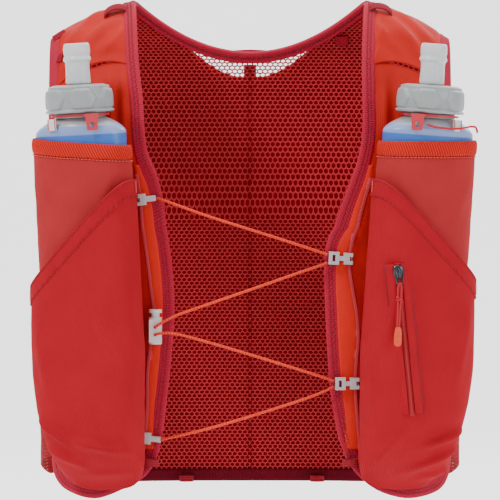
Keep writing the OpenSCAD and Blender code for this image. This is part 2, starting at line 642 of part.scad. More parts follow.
// The pull hangs straight down from the slider's bridge
pull_drop = 34;
pull_turn = 8;                  // its cord falls plumb, not along the zip
module zip_pull() {
    in_zip() translate([0, -coil_lift, -slider_l - 1]) {
        translate([-2.9, -2.75, 4.6]) rotate([0, 90, 0]) cylinder(d = 1.1, h = 5.8);
        for (x = [-3.4, 2.4]) translate([x, -3.6, -3.4]) cube([1, 1.4, 8.6]);
        translate([-3.4, -3.6, -4.2]) cube([6.8, 1.4, 1.4]);
        translate([0, -2.9, -3.6]) rotate([0, pull_turn, 0]) {
            translate([0, 0, -pull_drop]) cylinder(d = 1.6, h = pull_drop);
            translate([-3.1, -1, -pull_drop - 15]) cube([6.2, 2, 16]);
        }
    }
}

// ---- loops

module shoulder_loop(side) {
    x = (side < 0 ? -106 : 103) * kx;
    s = s_angle(76);
    arc = [for (k = [0:12]) 180 * k / 12];
    pts = function(rx, rz, base) [for (a = arc) [for (w = [-6, 6])
        lifted([x + rx * cos(a), s + w], base + rz * sin(a))]];
    skin(pts(8.5, 5, panel_t + binding_proud + 0.3), pts(7.3, 3.8, panel_t + binding_proud + 0.2));
}

function pole_loop_place(side) = lifted([(side < 0 ? -76.5 : 77.5) * kx, 27 * kh],
    panel_t + binding_proud + pole_loop_r + 1.4 + 0.4);
module pole_loop(side) {
    translate(pole_loop_place(side)) difference() {
        cylinder(r = pole_loop_r + 1.4, h = pole_loop_h);
        translate([0, 0, -1]) cylinder(r = pole_loop_r, h = pole_loop_h + 2);
    }
}

module rear_loops() {
    for (x = [-52, 55]) {
        place = lifted([x * kx, back_bottom + binding_w], -0.8 - 6);
        translate(place) difference() {
            cylinder(r = 5.8, h = 5);
            translate([0, 0, -1]) cylinder(r = 4.6, h = 7);
        }
    }
}

// ---- colours and placing

cloth_red = "#C8202E";
binding_red = "#B5203A";
orange_red = "#E0352B";
plastic = "#C9CBCC";

at_rest() color("#A8101C") back_mesh();
at_rest() color("#8E0A18") back_shell();
at_rest() color("#A82434") back_strap();
at_rest() color("#A82434") hang_loop();
at_rest() color("#6E0A20") back_hem();
at_rest() color(binding_red) neck_binding();
at_rest() color(binding_red) collar_patch();
at_rest() color(orange_red) yoke(-1);  // yoke_r
at_rest() color(orange_red) yoke(1);  // yoke_l
at_rest() color(binding_red) arm_binding(-1);  // arm_binding_r
at_rest() color(binding_red) arm_binding(1);  // arm_binding_l
at_rest() color(orange_red) front_panel(-1);  // front_panel_r
at_rest() color(orange_red) front_panel(1);  // front_panel_l
at_rest() color(binding_red) front_binding(-1);  // front_binding_r
at_rest() color(binding_red) front_binding(1);  // front_binding_l
at_rest() color(cloth_red) side_panel(-1);  // side_panel_r
at_rest() color(cloth_red) side_panel(1);  // side_panel_l
at_rest() color(orange_red) knit_strip(-1);  // knit_strip_r
at_rest() color(orange_red) knit_strip(1);  // knit_strip_l
at_rest() color("#F0707C") rail_line(-1);  // rail_r
at_rest() color("#F0707C") rail_line(1);  // rail_l
at_rest() color("#C03A40") sleeve(-1);  // sleeve_r
at_rest() color("#C03A40") sleeve(1);  // sleeve_l
at_rest() color(orange_red) sleeve_hem(-1);  // sleeve_hem_r
at_rest() color(orange_red) sleeve_hem(1);  // sleeve_hem_l
at_rest() color(cloth_red) stow_pocket(-1);  // stow_pocket_r
at_rest() color(cloth_red) stow_pocket(1);  // stow_pocket_l
at_rest() color("#A82434") shoulder_loop(-1);  // shoulder_loop_r
at_rest() color("#A82434") shoulder_loop(1);  // shoulder_loop_l
at_rest() color("#A82434") pole_loop(-1);  // pole_loop_r
at_rest() color("#A82434") pole_loop(1);  // pole_loop_l
at_rest() color("#A82434") rear_loops();
at_rest() color(plastic) hook_forked(0);  // hook_upper_r
at_rest() color(plastic) hook_forked(1);  // hook_lower_r
at_rest() color(plastic) hook_square(2);  // hook_upper_l
at_rest() color(plastic) hook_square(3);  // hook_lower_l
at_rest() color("#F4553F") lace(LACE_TOP);  // lace_top
at_rest() color("#F4553F") lace(LACE_LOCK_UPPER);  // lace_lock_upper
at_rest() color("#F4553F") lace(LACE_LOCK_LOWER);  // lace_lock_lower
at_rest() color("#F4553F") lace(LACE_BOTTOM);  // lace_bottom
at_rest() color("#E6E8EA") lock_body();
at_rest() color("#E6E8EA") lock_plunger();
at_rest() color("silver") lock_spring();
at_rest() color(cloth_red) zip_tape();
at_rest() color("#B01E3A") zip_coil();
at_rest() color("#3A3C40") zip_slider();
at_rest() color("#F07050") zip_pull();
at_rest() color("#8FB0D8") flask(-1);  // flask_r
at_rest() color("#8FB0D8") flask(1);  // flask_l
at_rest() color("#D8DCDE") neck(-1);  // neck_r
at_rest() color("#D8DCDE") neck(1);  // neck_l
at_rest() color("#D83040") tether(-1);  // tether_r
at_rest() color("#D83040") tether(1);  // tether_l
at_rest() color("#F0F0F0") ribbon_tab(-1);  // ribbon_tab_r
at_rest() color("#F0F0F0") ribbon_tab(1);  // ribbon_tab_l
at_rest() color("#D83040") tether_cord();
at_rest() color(plastic) cap(-1);  // cap_r
at_rest() color(plastic) cap(1);  // cap_l
at_rest() color("#F0F2F2") valve(-1);  // valve_r
at_rest() color("#F0F2F2") valve(1);  // valve_l
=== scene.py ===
import math

import bmesh
import bpy
import numpy as np
from mathutils import Matrix, Vector, noise


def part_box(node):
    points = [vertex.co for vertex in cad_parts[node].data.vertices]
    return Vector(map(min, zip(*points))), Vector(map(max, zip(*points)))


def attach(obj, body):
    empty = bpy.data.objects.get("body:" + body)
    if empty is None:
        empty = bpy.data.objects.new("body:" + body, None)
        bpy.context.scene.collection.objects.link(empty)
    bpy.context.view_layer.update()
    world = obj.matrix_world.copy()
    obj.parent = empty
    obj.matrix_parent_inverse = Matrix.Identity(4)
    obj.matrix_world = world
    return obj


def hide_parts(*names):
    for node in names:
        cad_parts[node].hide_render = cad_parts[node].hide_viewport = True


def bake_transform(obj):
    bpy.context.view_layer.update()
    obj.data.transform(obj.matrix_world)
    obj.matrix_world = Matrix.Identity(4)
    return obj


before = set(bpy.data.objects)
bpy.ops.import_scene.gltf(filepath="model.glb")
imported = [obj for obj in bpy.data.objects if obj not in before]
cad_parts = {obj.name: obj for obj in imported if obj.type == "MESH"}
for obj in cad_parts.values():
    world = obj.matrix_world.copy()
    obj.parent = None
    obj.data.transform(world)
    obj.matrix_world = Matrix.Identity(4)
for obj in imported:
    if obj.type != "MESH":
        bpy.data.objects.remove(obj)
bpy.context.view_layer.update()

bl_info = {
    "name": "Running hydration vest",
    "version": (1, 0, 0),
    "blender": (4, 5, 0),
    "location": "View3D > Sidebar > Vest",
    "description": "Cloth, trim, lacing and flask finishes of a running vest around its CAD frame",
    "category": "Object",
}

MM = 0.001
SHOULDER_H = 388.0      # height of the shoulder line above the front hems
ARCH_H = 215.0          # below this height the vest hangs straight down
ARCH_L = 195.0          # pattern length from there up to the shoulder line
ARCH_POWER = 2.4
TORSO_POWER = 2.8
PANEL_T = 1.2
MESH_T = 2.6
BACK_RISE = 10.0        # the back ends this far above the front hems
BACK_BOTTOM = ARCH_H + 2 * ARCH_L + ARCH_H - BACK_RISE


# ---------------------------------------------------------------- sizes and colours

class VestSizes(bpy.types.PropertyGroup):
    """Sizes of the cloth and trim, in millimetres unless a unit says otherwise"""
    torso_half_w: bpy.props.FloatProperty(
        name="Torso half width", description="Half width of the torso inside the vest",
        default=0.166, unit="LENGTH")
    chest_d: bpy.props.FloatProperty(
        name="Chest depth", description="Depth of the chest in front of the shoulder line",
        default=0.092, unit="LENGTH")
    back_d: bpy.props.FloatProperty(
        name="Back depth", description="Depth of the back behind the shoulder line",
        default=0.084, unit="LENGTH")
    binding_w: bpy.props.FloatProperty(
        name="Binding width", description="Width of the folded edge binding",
        default=0.010, unit="LENGTH")
    hex_pitch: bpy.props.FloatProperty(
        name="Mesh cell", description="Distance between the spacer mesh's cells",
        default=0.0041, unit="LENGTH")
    stitch: bpy.props.FloatProperty(
        name="Stitch length", description="Length of one stitch",
        default=0.0026, unit="LENGTH")
    thread_d: bpy.props.FloatProperty(
        name="Thread", description="Diameter of the sewing thread",
        default=0.0009, unit="LENGTH")
    cord_d: bpy.props.FloatProperty(
        name="Lacing cord", description="Diameter of the elastic lacing cord",
        default=0.0022, unit="LENGTH")


class VestColours(bpy.types.PropertyGroup):
    """Colours as sRGB hex values"""
    shoulder: bpy.props.StringProperty(
        name="Shoulder cloth", description="Light woven cloth", default="#CC2018")
    pocket: bpy.props.StringProperty(
        name="Pocket cloth", description="Stretch twill", default="#B81526")
    sleeve: bpy.props.StringProperty(
        name="Sleeve mesh", description="Stretch mesh over the flasks", default="#BE3034")
    binding: bpy.props.StringProperty(
        name="Binding", description="Edge binding", default="#C4213F")
    knit: bpy.props.StringProperty(
        name="Rib knit", description="Knit strips and sleeve hems", default="#E62C20")
    net: bpy.props.StringProperty(
        name="Spacer mesh", description="Honeycomb strands", default="#C21226")
    film: bpy.props.StringProperty(
        name="Flask band", description="Printed band round a flask", default="#3D70C4")


# ---------------------------------------------------------------- torso surface
# A place on the flat pattern is (x, s), in millimetres: s runs up the front, over the
# shoulder and down the back. Heights h are counted from the front hems.

def sizes():
    return bpy.context.scene.vest_sizes


def oval(q, power):
    return (1 - np.minimum(np.abs(q), 0.995) ** power) ** (1 / power)


def ridge(x):
    d = np.maximum(0, np.abs(x) - 90)
    return SHOULDER_H - 0.2 * d - 0.0035 * d * d


def climb(x, h):
    rise = np.clip((h - ARCH_H) / (ridge(x) - ARCH_H), 0, 1)
    return ARCH_L / 90 * np.degrees(np.arcsin(rise ** (ARCH_POWER / 2)))


def s_front(x, h):
    x, h = np.asarray(x, float), np.asarray(h, float)
    return np.where(h <= ARCH_H, h, ARCH_H + climb(x, h))


def s_back(x, h):
    x, h = np.asarray(x, float), np.asarray(h, float)
    over = np.where(h > ARCH_H, climb(x, h), 0)
    return ARCH_H + 2 * ARCH_L + np.maximum(0, ARCH_H - h) - over


def s_angle(a):
    return ARCH_H + ARCH_L * a / 90


def torso(q):
    """Points of the torso, in millimetres from the origin, at pattern places q."""
    q = np.asarray(q, float)
    x, s = q[..., 0], q[..., 1]
    size = sizes()
    a = np.radians(np.clip((s - ARCH_H) / ARCH_L, 0, 2) * 90)
    depth = np.where(a <= math.pi / 2, -size.chest_d, size.back_d) / MM
    depth = depth * oval(x / (size.torso_half_w / MM), TORSO_POWER)
    up = np.maximum(0, np.sin(a)) ** (2 / ARCH_POWER)
    out = np.abs(np.cos(a)) ** (2 / ARCH_POWER)
    below = np.maximum(0, ARCH_H - s) + np.maximum(0, s - ARCH_H - 2 * ARCH_L)
    z = ARCH_H + (ridge(x) - ARCH_H) * up - below - SHOULDER_H
    return np.stack([x, depth * out, z], -1)


def unit(v):
    return v / np.maximum(np.linalg.norm(v, axis=-1, keepdims=True), 1e-9)


def lift(q, off):
    """Points that stand off the torso by off millimetres."""
    q = np.asarray(q, float)
    across = torso(q + [0.5, 0]) - torso(q - [0.5, 0])
    along = torso(q + [0, 0.5]) - torso(q - [0, 0.5])
    off = np.asarray(off, float)
    return torso(q) + unit(np.cross(across, along)) * off[..., None]


def flank(side, angle, h, off):
    """Points of the torso's side: angle runs from the side towards the chest."""
    size = sizes()
    angle, h, off = (np.asarray(v, float) for v in np.broadcast_arrays(angle, h, off))

    def place(a):
        r = np.radians(a)
        depth = np.where(a > 0, -size.chest_d, size.back_d) / MM
        return np.stack([side * size.torso_half_w / MM * np.cos(r) ** (2 / TORSO_POWER),
                         depth * np.abs(np.sin(r)) ** (2 / TORSO_POWER),
                         h - SHOULDER_H], -1)
    step = place(angle - 0.5) - place(angle + 0.5)
    return place(angle) + side * unit(np.cross(step, [0.0, 0.0, 1.0])) * off[..., None]


def bumps(x, y, scale, seed=0.0):
    """Smooth noise from -1 to 1 over arrays, at lumps about scale millimetres across."""
    flat = [noise.noise((a / scale, b / scale, seed)) for a, b in zip(x.ravel(), y.ravel())]
    return np.array(flat).reshape(x.shape)


def fold(x, y, start, end, width, height):
    """A fold: a soft ridge along the line from start to end, fading at both ends."""
    a, b = np.array(start, float), np.array(end, float)
    d = b - a
    t = ((x - a[0]) * d[0] + (y - a[1]) * d[1]) / (d @ d)
    across = ((x - a[0]) * -d[1] + (y - a[1]) * d[0]) / math.sqrt(d @ d)
    ends = np.clip(1 - np.abs(2 * t - 1), 0, 1)
    return height * np.exp(-(across / width) ** 2) * ends * (2 - ends)


# ---------------------------------------------------------------- paths

def smooth(points, m=6):
    """A Catmull-Rom line through points."""
    p = np.asarray(points, float)
    p = np.vstack([p[:1], p, p[-1:]])
    t = (np.arange(m) / m)[:, None]
    out = [0.5 * (2 * b + (c - a) * t + (2 * a - 5 * b + 4 * c - d) * t * t
                  + (3 * b - a - 3 * c + d) * t ** 3)
           for a, b, c, d in zip(p, p[1:], p[2:], p[3:])]
    return np.vstack(out + [p[-1:]])


def lengths(p):
    return np.concatenate([[0], np.cumsum(np.linalg.norm(np.diff(p, axis=0), axis=1))])


def resample(p, n, start=0.0, end=1.0):
    p = np.asarray(p, float)
    run = lengths(p)
    at = np.linspace(start, end, n) * run[-1]
    return np.stack([np.interp(at, run, p[:, k]) for k in range(p.shape[1])], -1)


def beside(p, d):
    """The path moved d to its left."""
    t = np.gradient(p, axis=0)
    t /= np.linalg.norm(t, axis=1, keepdims=True)
    return p + np.stack([-t[:, 1], t[:, 0]], -1) * np.asarray(d)[..., None]


def ruled(left, right, n):
    w = np.linspace(0, 1, n)[None, :, None]
    return left[:, None] * (1 - w) + right[:, None] * w


EDGE = {
    -1: [(-91, 388), (-88, 352), (-84, 314), (-81, 277), (-72, 253), (-66, 222), (-61, 185),
         (-59, 150), (-61, 118), (-65, 80), (-70, 44), (-80, 21), (-100, 8), (-122, 0),
         (-143, 5), (-153, 15), (-156, 30)],
    1: [(91, 388), (88, 352), (88, 318), (88, 288), (83, 263), (73, 236), (62, 208), (58, 188),
        (59, 145), (62, 95), (66, 65), (71, 44), (80, 25), (94, 11), (110, 3), (128, 0),
        (148, 5), (156, 16), (158, 30)],
}
RAIL = {
    -1: [(-88, 256), (-85.5, 240), (-81, 200), (-77, 168), (-75, 150), (-77, 125),
         (-79.5, 100), (-80, 74), (-81.7, 46), (-84, 36)],
    1: [(94, 252), (87, 230), (80, 206), (77, 187), (79, 170), (83, 145), (84, 126), (82, 102),
        (82, 84), (84, 58), (86, 38)],
}


def on_front(points):
    p = np.asarray(points, float)
    return np.stack([p[:, 0], s_front(p[:, 0], p[:, 1])], -1)


def edge(side, d=0.0):
    """The front edge's line, moved d into the panel."""
    p = resample(smooth(on_front(EDGE[side])), 240)
    return beside(p, side * d * np.ones(len(p)))


def rail(side):
    return resample(smooth(on_front(RAIL[side])), 160)


def neckline(d=0.0):
    x = 91 * np.sin(np.linspace(-math.pi / 2, math.pi / 2, 161))
    h = SHOULDER_H - 40 + 40 * (x / 91) ** 2
    p = resample(np.stack([x, s_back(x, h)], -1), 160)
    return beside(p, d * np.ones(len(p)))


def x_at(path, s):
    """x of a path's falling part at pattern height s."""
    low = int(np.argmin(path[:int(len(path) * 0.7), 1]))
    part = path[:low + 1][::-1]
    return np.interp(s, part[:, 1], part[:, 0])


# ---------------------------------------------------------------- meshes

def linear(code):
    """Linear colour of an sRGB hex value."""
    parts = [int(code[k:k + 2], 16) / 255 for k in (1, 3, 5)]
    return [c / 12.92 if c <= 0.04045 else ((c + 0.055) / 1.055) ** 2.4 for c in parts] + [1.0]


def add_mesh(name, points, faces, uv=None, material=None, flat=False):
    """An object from points in millimetres, with one UV place in millimetres per point."""
    mesh = bpy.data.meshes.new(name)
    mesh.from_pydata((np.asarray(points) * MM).tolist(), [], faces)
    if uv is not None:
        layer = mesh.uv_layers.new(name="pattern")
        index = np.zeros(len(mesh.loops), np.int32)
        mesh.loops.foreach_get("vertex_index", index)
        layer.data.foreach_set("uv", np.asarray(uv, np.float32)[index].ravel())
    mesh.validate()
    mesh.polygons.foreach_set("use_smooth", [not flat] * len(mesh.polygons))
    if material:
        mesh.materials.append(material)
    piece = bpy.data.objects.new(name, mesh)
    bpy.context.scene.collection.objects.link(piece)
    return piece


def outward(piece):
    """Turns a closed mesh's faces out."""
    work = bmesh.new()
    work.from_mesh(piece.data)
    bmesh.ops.recalc_face_normals(work, faces=work.faces)
    work.to_mesh(piece.data)
    work.free()
    return piece


def skin(name, outer, inner, uv, material):
    """A closed skin between two grids of points."""
    rows, cols = outer.shape[:2]
    n = rows * cols
    k = np.arange(n).reshape(rows, cols)
    quads = np.stack([k[:-1, :-1], k[:-1, 1:], k[1:, 1:], k[1:, :-1]], -1).reshape(-1, 4)
    rim = np.concatenate([k[0, :-1], k[:-1, -1], k[-1, :0:-1], k[:0:-1, 0]])
    after = np.roll(rim, -1)
    sides = np.stack([rim, rim + n, after + n, after], -1)
    faces = np.vstack([quads, quads[:, ::-1] + n, sides]).tolist()
    points = np.vstack([outer.reshape(-1, 3), inner.reshape(-1, 3)])
    uv = np.vstack([uv.reshape(-1, 2)] * 2)
    return outward(add_mesh(name, points, faces, uv, material))


def cloth(name, grid, low, high, material, relief=0.0, inner_relief=None):
    """A skin between two heights over the torso, its relief in millimetres."""
    back = relief if inner_relief is None else inner_relief
    shape = grid.shape[:2]
    outer = lift(grid, np.zeros(shape) + high + relief)
    inner = lift(grid, np.zeros(shape) + low + back)
    return skin(name, outer, inner, grid, material)


def loft(name, rings, uv, material, closed_ends=True):
    """A closed tube through rings of points; uv runs (around, along)."""
    rows, cols = rings.shape[:2]
    k = np.arange(rows * cols).reshape(rows, cols)
    side = np.roll(k, -1, axis=1)
    faces = np.stack([k[:-1], side[:-1], side[1:], k[1:]], -1).reshape(-1, 4).tolist()
    if closed_ends:
        faces += [k[0][::-1].tolist(), k[-1].tolist()]
    return outward(add_mesh(name, rings.reshape(-1, 3), faces, uv.reshape(-1, 2), material))


def band(name, path, width, low, high, material, crown=0.5, groove=0.0, place=lift):
    """A folded band beside a pattern path, with round edges, a crown and a centre groove."""
    turn = np.linspace(0, 2 * math.pi, 25)[:-1]
    across = 0.5 - 0.5 * np.sign(np.cos(turn)) * np.abs(np.cos(turn)) ** 0.6
    rise = np.sign(np.sin(turn)) * np.abs(np.sin(turn)) ** crown
    middle, half = (high + low) / 2, (high - low) / 2
    off = middle + half * rise - groove * rise * np.exp(-((across - 0.5) / 0.18) ** 2)
    run = lengths(path)
    rings = [beside(path, width * w * np.ones(len(path))) for w in across]
    q = np.stack(rings, 1)
    points = place(q, np.zeros(q.shape[:2]) + off[None, :])
    uv = np.stack([np.broadcast_to(run[:, None], q.shape[:2]),
                   np.broadcast_to(across * abs(width), q.shape[:2])], -1)
    return loft(name, points, uv, material)


def tube(name, points, d, material, sides=12):
    """A round cord along points, with its UV in millimetres round and along it."""
    p = np.asarray(points, float)
    t = unit(np.gradient(p, axis=0))
    up = np.cross(t, np.where(np.abs(t[:, 2:]) < 0.8, [[0, 0, 1.0]], [[0, 1.0, 0]]))
    u = unit(up)
    v = np.cross(t, u)
    turn = np.linspace(0, 2 * math.pi, sides + 1)[:-1]
    rings = p[:, None] + d / 2 * (np.cos(turn)[None, :, None] * u[:, None]
                                  + np.sin(turn)[None, :, None] * v[:, None])
    around = np.minimum(turn, 2 * math.pi - turn) * d / 2
    uv = np.stack([np.broadcast_to(around, rings.shape[:2]),
                   np.broadcast_to(lengths(p)[:, None], rings.shape[:2])], -1)
    return loft(name, rings, uv, material)


def finish_piece(piece, body, slot, *replaced):
    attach(piece, body)
    if replaced:
        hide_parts(*replaced)
    return piece


def modify(piece, kind, **settings):
    mod = piece.modifiers.new(kind.title(), kind)
    for key, value in settings.items():
        setattr(mod, key, value)
    return mod


def bake(piece):
    """Applies a piece's modifiers and leaves a plain mesh."""
    evaluated = piece.evaluated_get(bpy.context.evaluated_depsgraph_get())
    mesh = bpy.data.meshes.new_from_object(evaluated)
    piece.modifiers.clear()
    piece.data = mesh
    return piece


def softened(name, node, width, material, smooth_angle=40):
    """A copy of a hard CAD node with its edges rounded off."""
    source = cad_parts[node]
    mesh = source.data.copy()
    mesh.name = name
    work = bmesh.new()
    work.from_mesh(mesh)
    bmesh.ops.remove_doubles(work, verts=work.verts, dist=1e-5)
    bmesh.ops.dissolve_limit(work, angle_limit=math.radians(1), verts=work.verts,
                             edges=work.edges)
    work.to_mesh(mesh)
    work.free()
    mesh.materials.clear()
    mesh.materials.append(material)
    piece = bpy.data.objects.new(name, mesh)
    bpy.context.scene.collection.objects.link(piece)
    modify(piece, "BEVEL", width=width * MM, segments=2, limit_method="ANGLE",
           angle_limit=math.radians(smooth_angle), use_clamp_overlap=True)
    bake(piece)
    piece.data.polygons.foreach_set("use_smooth", [True] * len(piece.data.polygons))
    modify(piece, "WEIGHTED_NORMAL", keep_sharp=True)
    return bake(piece)


# ---------------------------------------------------------------- materials

def add(tree, kind, values=None, links=None, **settings):
    """Adds a node; values set its inputs, links feed them."""
    made = tree.nodes.new(kind)
    for key, value in settings.items():
        setattr(made, key, value)
    for key, value in (values or {}).items():
        made.inputs[key].default_value = value
    for key, socket in (links or {}).items():
        tree.links.new(socket, made.inputs[key])
    return made


def blank(name, **principled):
    """A Principled material, with its tree and shader node."""
    made = bpy.data.materials.new(name)
    made.use_nodes = True
    tree = made.node_tree
    shader = tree.nodes["Principled BSDF"]
    for key, value in principled.items():
        shader.inputs[key.replace("_", " ")].default_value = value
    return made, tree, shader


def calc(tree, operation, a, b=0.0):
    """A math node's output; a and b are sockets or numbers."""
    values = {k: v for k, v in enumerate((a, b)) if isinstance(v, (int, float))}
    links = {k: v for k, v in enumerate((a, b)) if k not in values}
    return add(tree, "ShaderNodeMath", values, links, operation=operation).outputs[0]


def ridges(tree, where, pitch):
    """Height from 0 to 1 of ridges at a pitch, in the unit of where."""
    turn = calc(tree, "SINE", calc(tree, "MULTIPLY", where, 2 * math.pi / pitch))
    return calc(tree, "MULTIPLY", calc(tree, "ADD", turn, 1.0), 0.5)


def diagonal(tree, u, v, slope=1.0):
    return calc(tree, "ADD", u, calc(tree, "MULTIPLY", v, slope))


def twill(tree, u, v, pitch):
    return ridges(tree, diagonal(tree, u, v, 0.8), pitch)


def plain_weave(tree, u, v, pitch):
    return calc(tree, "MULTIPLY", ridges(tree, u, pitch), ridges(tree, v, pitch))


def ribs(tree, u, v, pitch):
    return ridges(tree, u, pitch)


def slant_ribs(tree, u, v, pitch):
    return ridges(tree, diagonal(tree, u, v, 0.45), pitch)


def hatch(tree, u, v, pitch):
    fine = ridges(tree, diagonal(tree, u, v, -1.0), pitch * 0.8)
    return calc(tree, "MAXIMUM", ridges(tree, diagonal(tree, u, v, 1.3), pitch),
                calc(tree, "MULTIPLY", fine, 0.7))


def braid(tree, u, v, pitch):
    return calc(tree, "MAXIMUM", ridges(tree, diagonal(tree, u, v, 1.0), pitch),
                ridges(tree, diagonal(tree, u, v, -1.0), pitch))


def fabric(name, code, weave, pitch, dark=0.55, depth=0.5, rough=0.85, sheen=0.1,
           blotch=0.12, lumps=30.0):
    """A cloth: weave relief and shade from the piece's own pattern UV in millimetres, with
    slow changes of dye and nap so that no stretch of it is flat colour."""
    made, tree, shader = blank(name, Roughness=rough, Sheen_Weight=sheen, Sheen_Roughness=0.5,
                               Sheen_Tint=linear(code), Specular_IOR_Level=0.15)
    uv = add(tree, "ShaderNodeUVMap", uv_map="pattern").outputs["UV"]
    parts = add(tree, "ShaderNodeSeparateXYZ", links={"Vector": uv})
    height = weave(tree, parts.outputs["X"], parts.outputs["Y"], pitch)
    nap = add(tree, "ShaderNodeTexNoise", {"Scale": 1 / lumps, "Detail": 4.0}, {"Vector": uv})
    fuzz = add(tree, "ShaderNodeTexNoise", {"Scale": 0.8, "Detail": 2.0}, {"Vector": uv})
    base = linear(code)
    low = [c * dark for c in base[:3]] + [1.0]
    mixed = colour_mix(tree, height, low, base)
    shade = calc(tree, "ADD", calc(tree, "MULTIPLY", nap.outputs["Fac"], 2 * blotch), 1 - blotch)
    toned = add(tree, "ShaderNodeHueSaturation", {"Saturation": 1.0},
                {"Color": mixed, "Value": shade})
    tree.links.new(toned.outputs["Color"], shader.inputs["Base Color"])
    relief = calc(tree, "ADD", height, calc(tree, "MULTIPLY", fuzz.outputs["Fac"], 0.5))
    bump = add(tree, "ShaderNodeBump", {"Strength": depth, "Distance": 0.0004}, {"Height": relief})
    tree.links.new(bump.outputs["Normal"], shader.inputs["Normal"])
    return made


def colour_mix(tree, share, a, b):
    """A colour between a and b; each is a colour or a socket."""
    node = add(tree, "ShaderNodeMix", data_type="RGBA", clamp_factor=True)
    tree.links.new(share, node.inputs[0])
    for index, value in ((6, a), (7, b)):
        if isinstance(value, bpy.types.NodeSocket):
            tree.links.new(value, node.inputs[index])
        else:
            node.inputs[index].default_value = value
    return node.outputs[2]


def moulded(name, code, rough=0.4, grain=0.05, scale=900.0, **more):
    """A moulded part: fine grain in its gloss and faint mould shading, in object space."""
    made, tree, shader = blank(name, Roughness=rough, **more)
    where = add(tree, "ShaderNodeTexCoord").outputs["Object"]
    fine = add(tree, "ShaderNodeTexNoise", {"Scale": scale, "Detail": 3.0}, {"Vector": where})
    slow = add(tree, "ShaderNodeTexNoise", {"Scale": 60.0, "Detail": 2.0}, {"Vector": where})
    base = linear(code)
    low = [c * 0.82 for c in base[:3]] + [1.0]
    tree.links.new(colour_mix(tree, slow.outputs["Fac"], low, base), shader.inputs["Base Color"])
    gloss = calc(tree, "ADD", calc(tree, "MULTIPLY", fine.outputs["Fac"], 2 * grain), rough - grain)
    tree.links.new(gloss, shader.inputs["Roughness"])
    bump = add(tree, "ShaderNodeBump", {"Strength": 0.12, "Distance": 0.0002},
               {"Height": fine.outputs["Fac"]})
    tree.links.new(bump.outputs["Normal"], shader.inputs["Normal"])
    return made


def flask_film(name, band_code, foot, axis, clear_from, step_at):
    """A flask's film: frosted and clear by its shoulder, with a printed band below that
    steps from pale to deep, and the soft haze of water behind it."""
    made, tree, shader = blank(name, Roughness=0.32, IOR=1.35, Transmission_Weight=0.0,
                               Coat_Weight=0.25, Coat_Roughness=0.25)
    where = add(tree, "ShaderNodeTexCoord").outputs["Object"]
    away = add(tree, "ShaderNodeVectorMath", {1: foot}, {0: where}, operation="SUBTRACT")
    along = add(tree, "ShaderNodeVectorMath", {1: axis}, {0: away.outputs["Vector"]},
                operation="DOT_PRODUCT").outputs["Value"]
    haze = add(tree, "ShaderNodeTexNoise", {"Scale": 45.0, "Detail": 3.0}, {"Vector": where})
    frost = colour_mix(tree, haze.outputs["Fac"], linear("#B9C0C6"), linear("#EDF0F2"))
    deep = linear(band_code)
    pale = [c + (1 - c) * 0.22 for c in deep[:3]] + [1.0]
    step = calc(tree, "MULTIPLY", calc(tree, "SUBTRACT", along, step_at), 900.0)
    band = colour_mix(tree, calc(tree, "MAXIMUM", step, 0.0), deep, pale)
    rise = calc(tree, "MULTIPLY", calc(tree, "SUBTRACT", along, clear_from), 900.0)
    tree.links.new(colour_mix(tree, calc(tree, "MAXIMUM", rise, 0.0), band, frost),
                   shader.inputs["Base Color"])
    clear = calc(tree, "MINIMUM", calc(tree, "MAXIMUM", rise, 0.0), 1.0)
    tree.links.new(calc(tree, "MULTIPLY", clear, 0.45), shader.inputs["Transmission Weight"])
    bump = add(tree, "ShaderNodeBump", {"Strength": 0.35, "Distance": 0.0008},
               {"Height": haze.outputs["Fac"]})
    tree.links.new(bump.outputs["Normal"], shader.inputs["Normal"])
    return made


def speckled(name, code, pitch):
    """A warp-knit side mesh: rows of small holes that light passes through."""
    made = fabric(name, code, plain_weave, pitch, dark=0.5, depth=0.6)
    tree = made.node_tree
    shader = tree.nodes["Principled BSDF"]
    uv = add(tree, "ShaderNodeUVMap", uv_map="pattern").outputs["UV"]
    parts = add(tree, "ShaderNodeSeparateXYZ", links={"Vector": uv})
    hole = plain_weave(tree, diagonal(tree, parts.outputs["X"], parts.outputs["Y"], 0.5),
                       parts.outputs["Y"], pitch)
    solid = calc(tree, "LESS_THAN", hole, 0.78)
    tree.links.new(solid, shader.inputs["Alpha"])
    return made


MATERIALS = {}


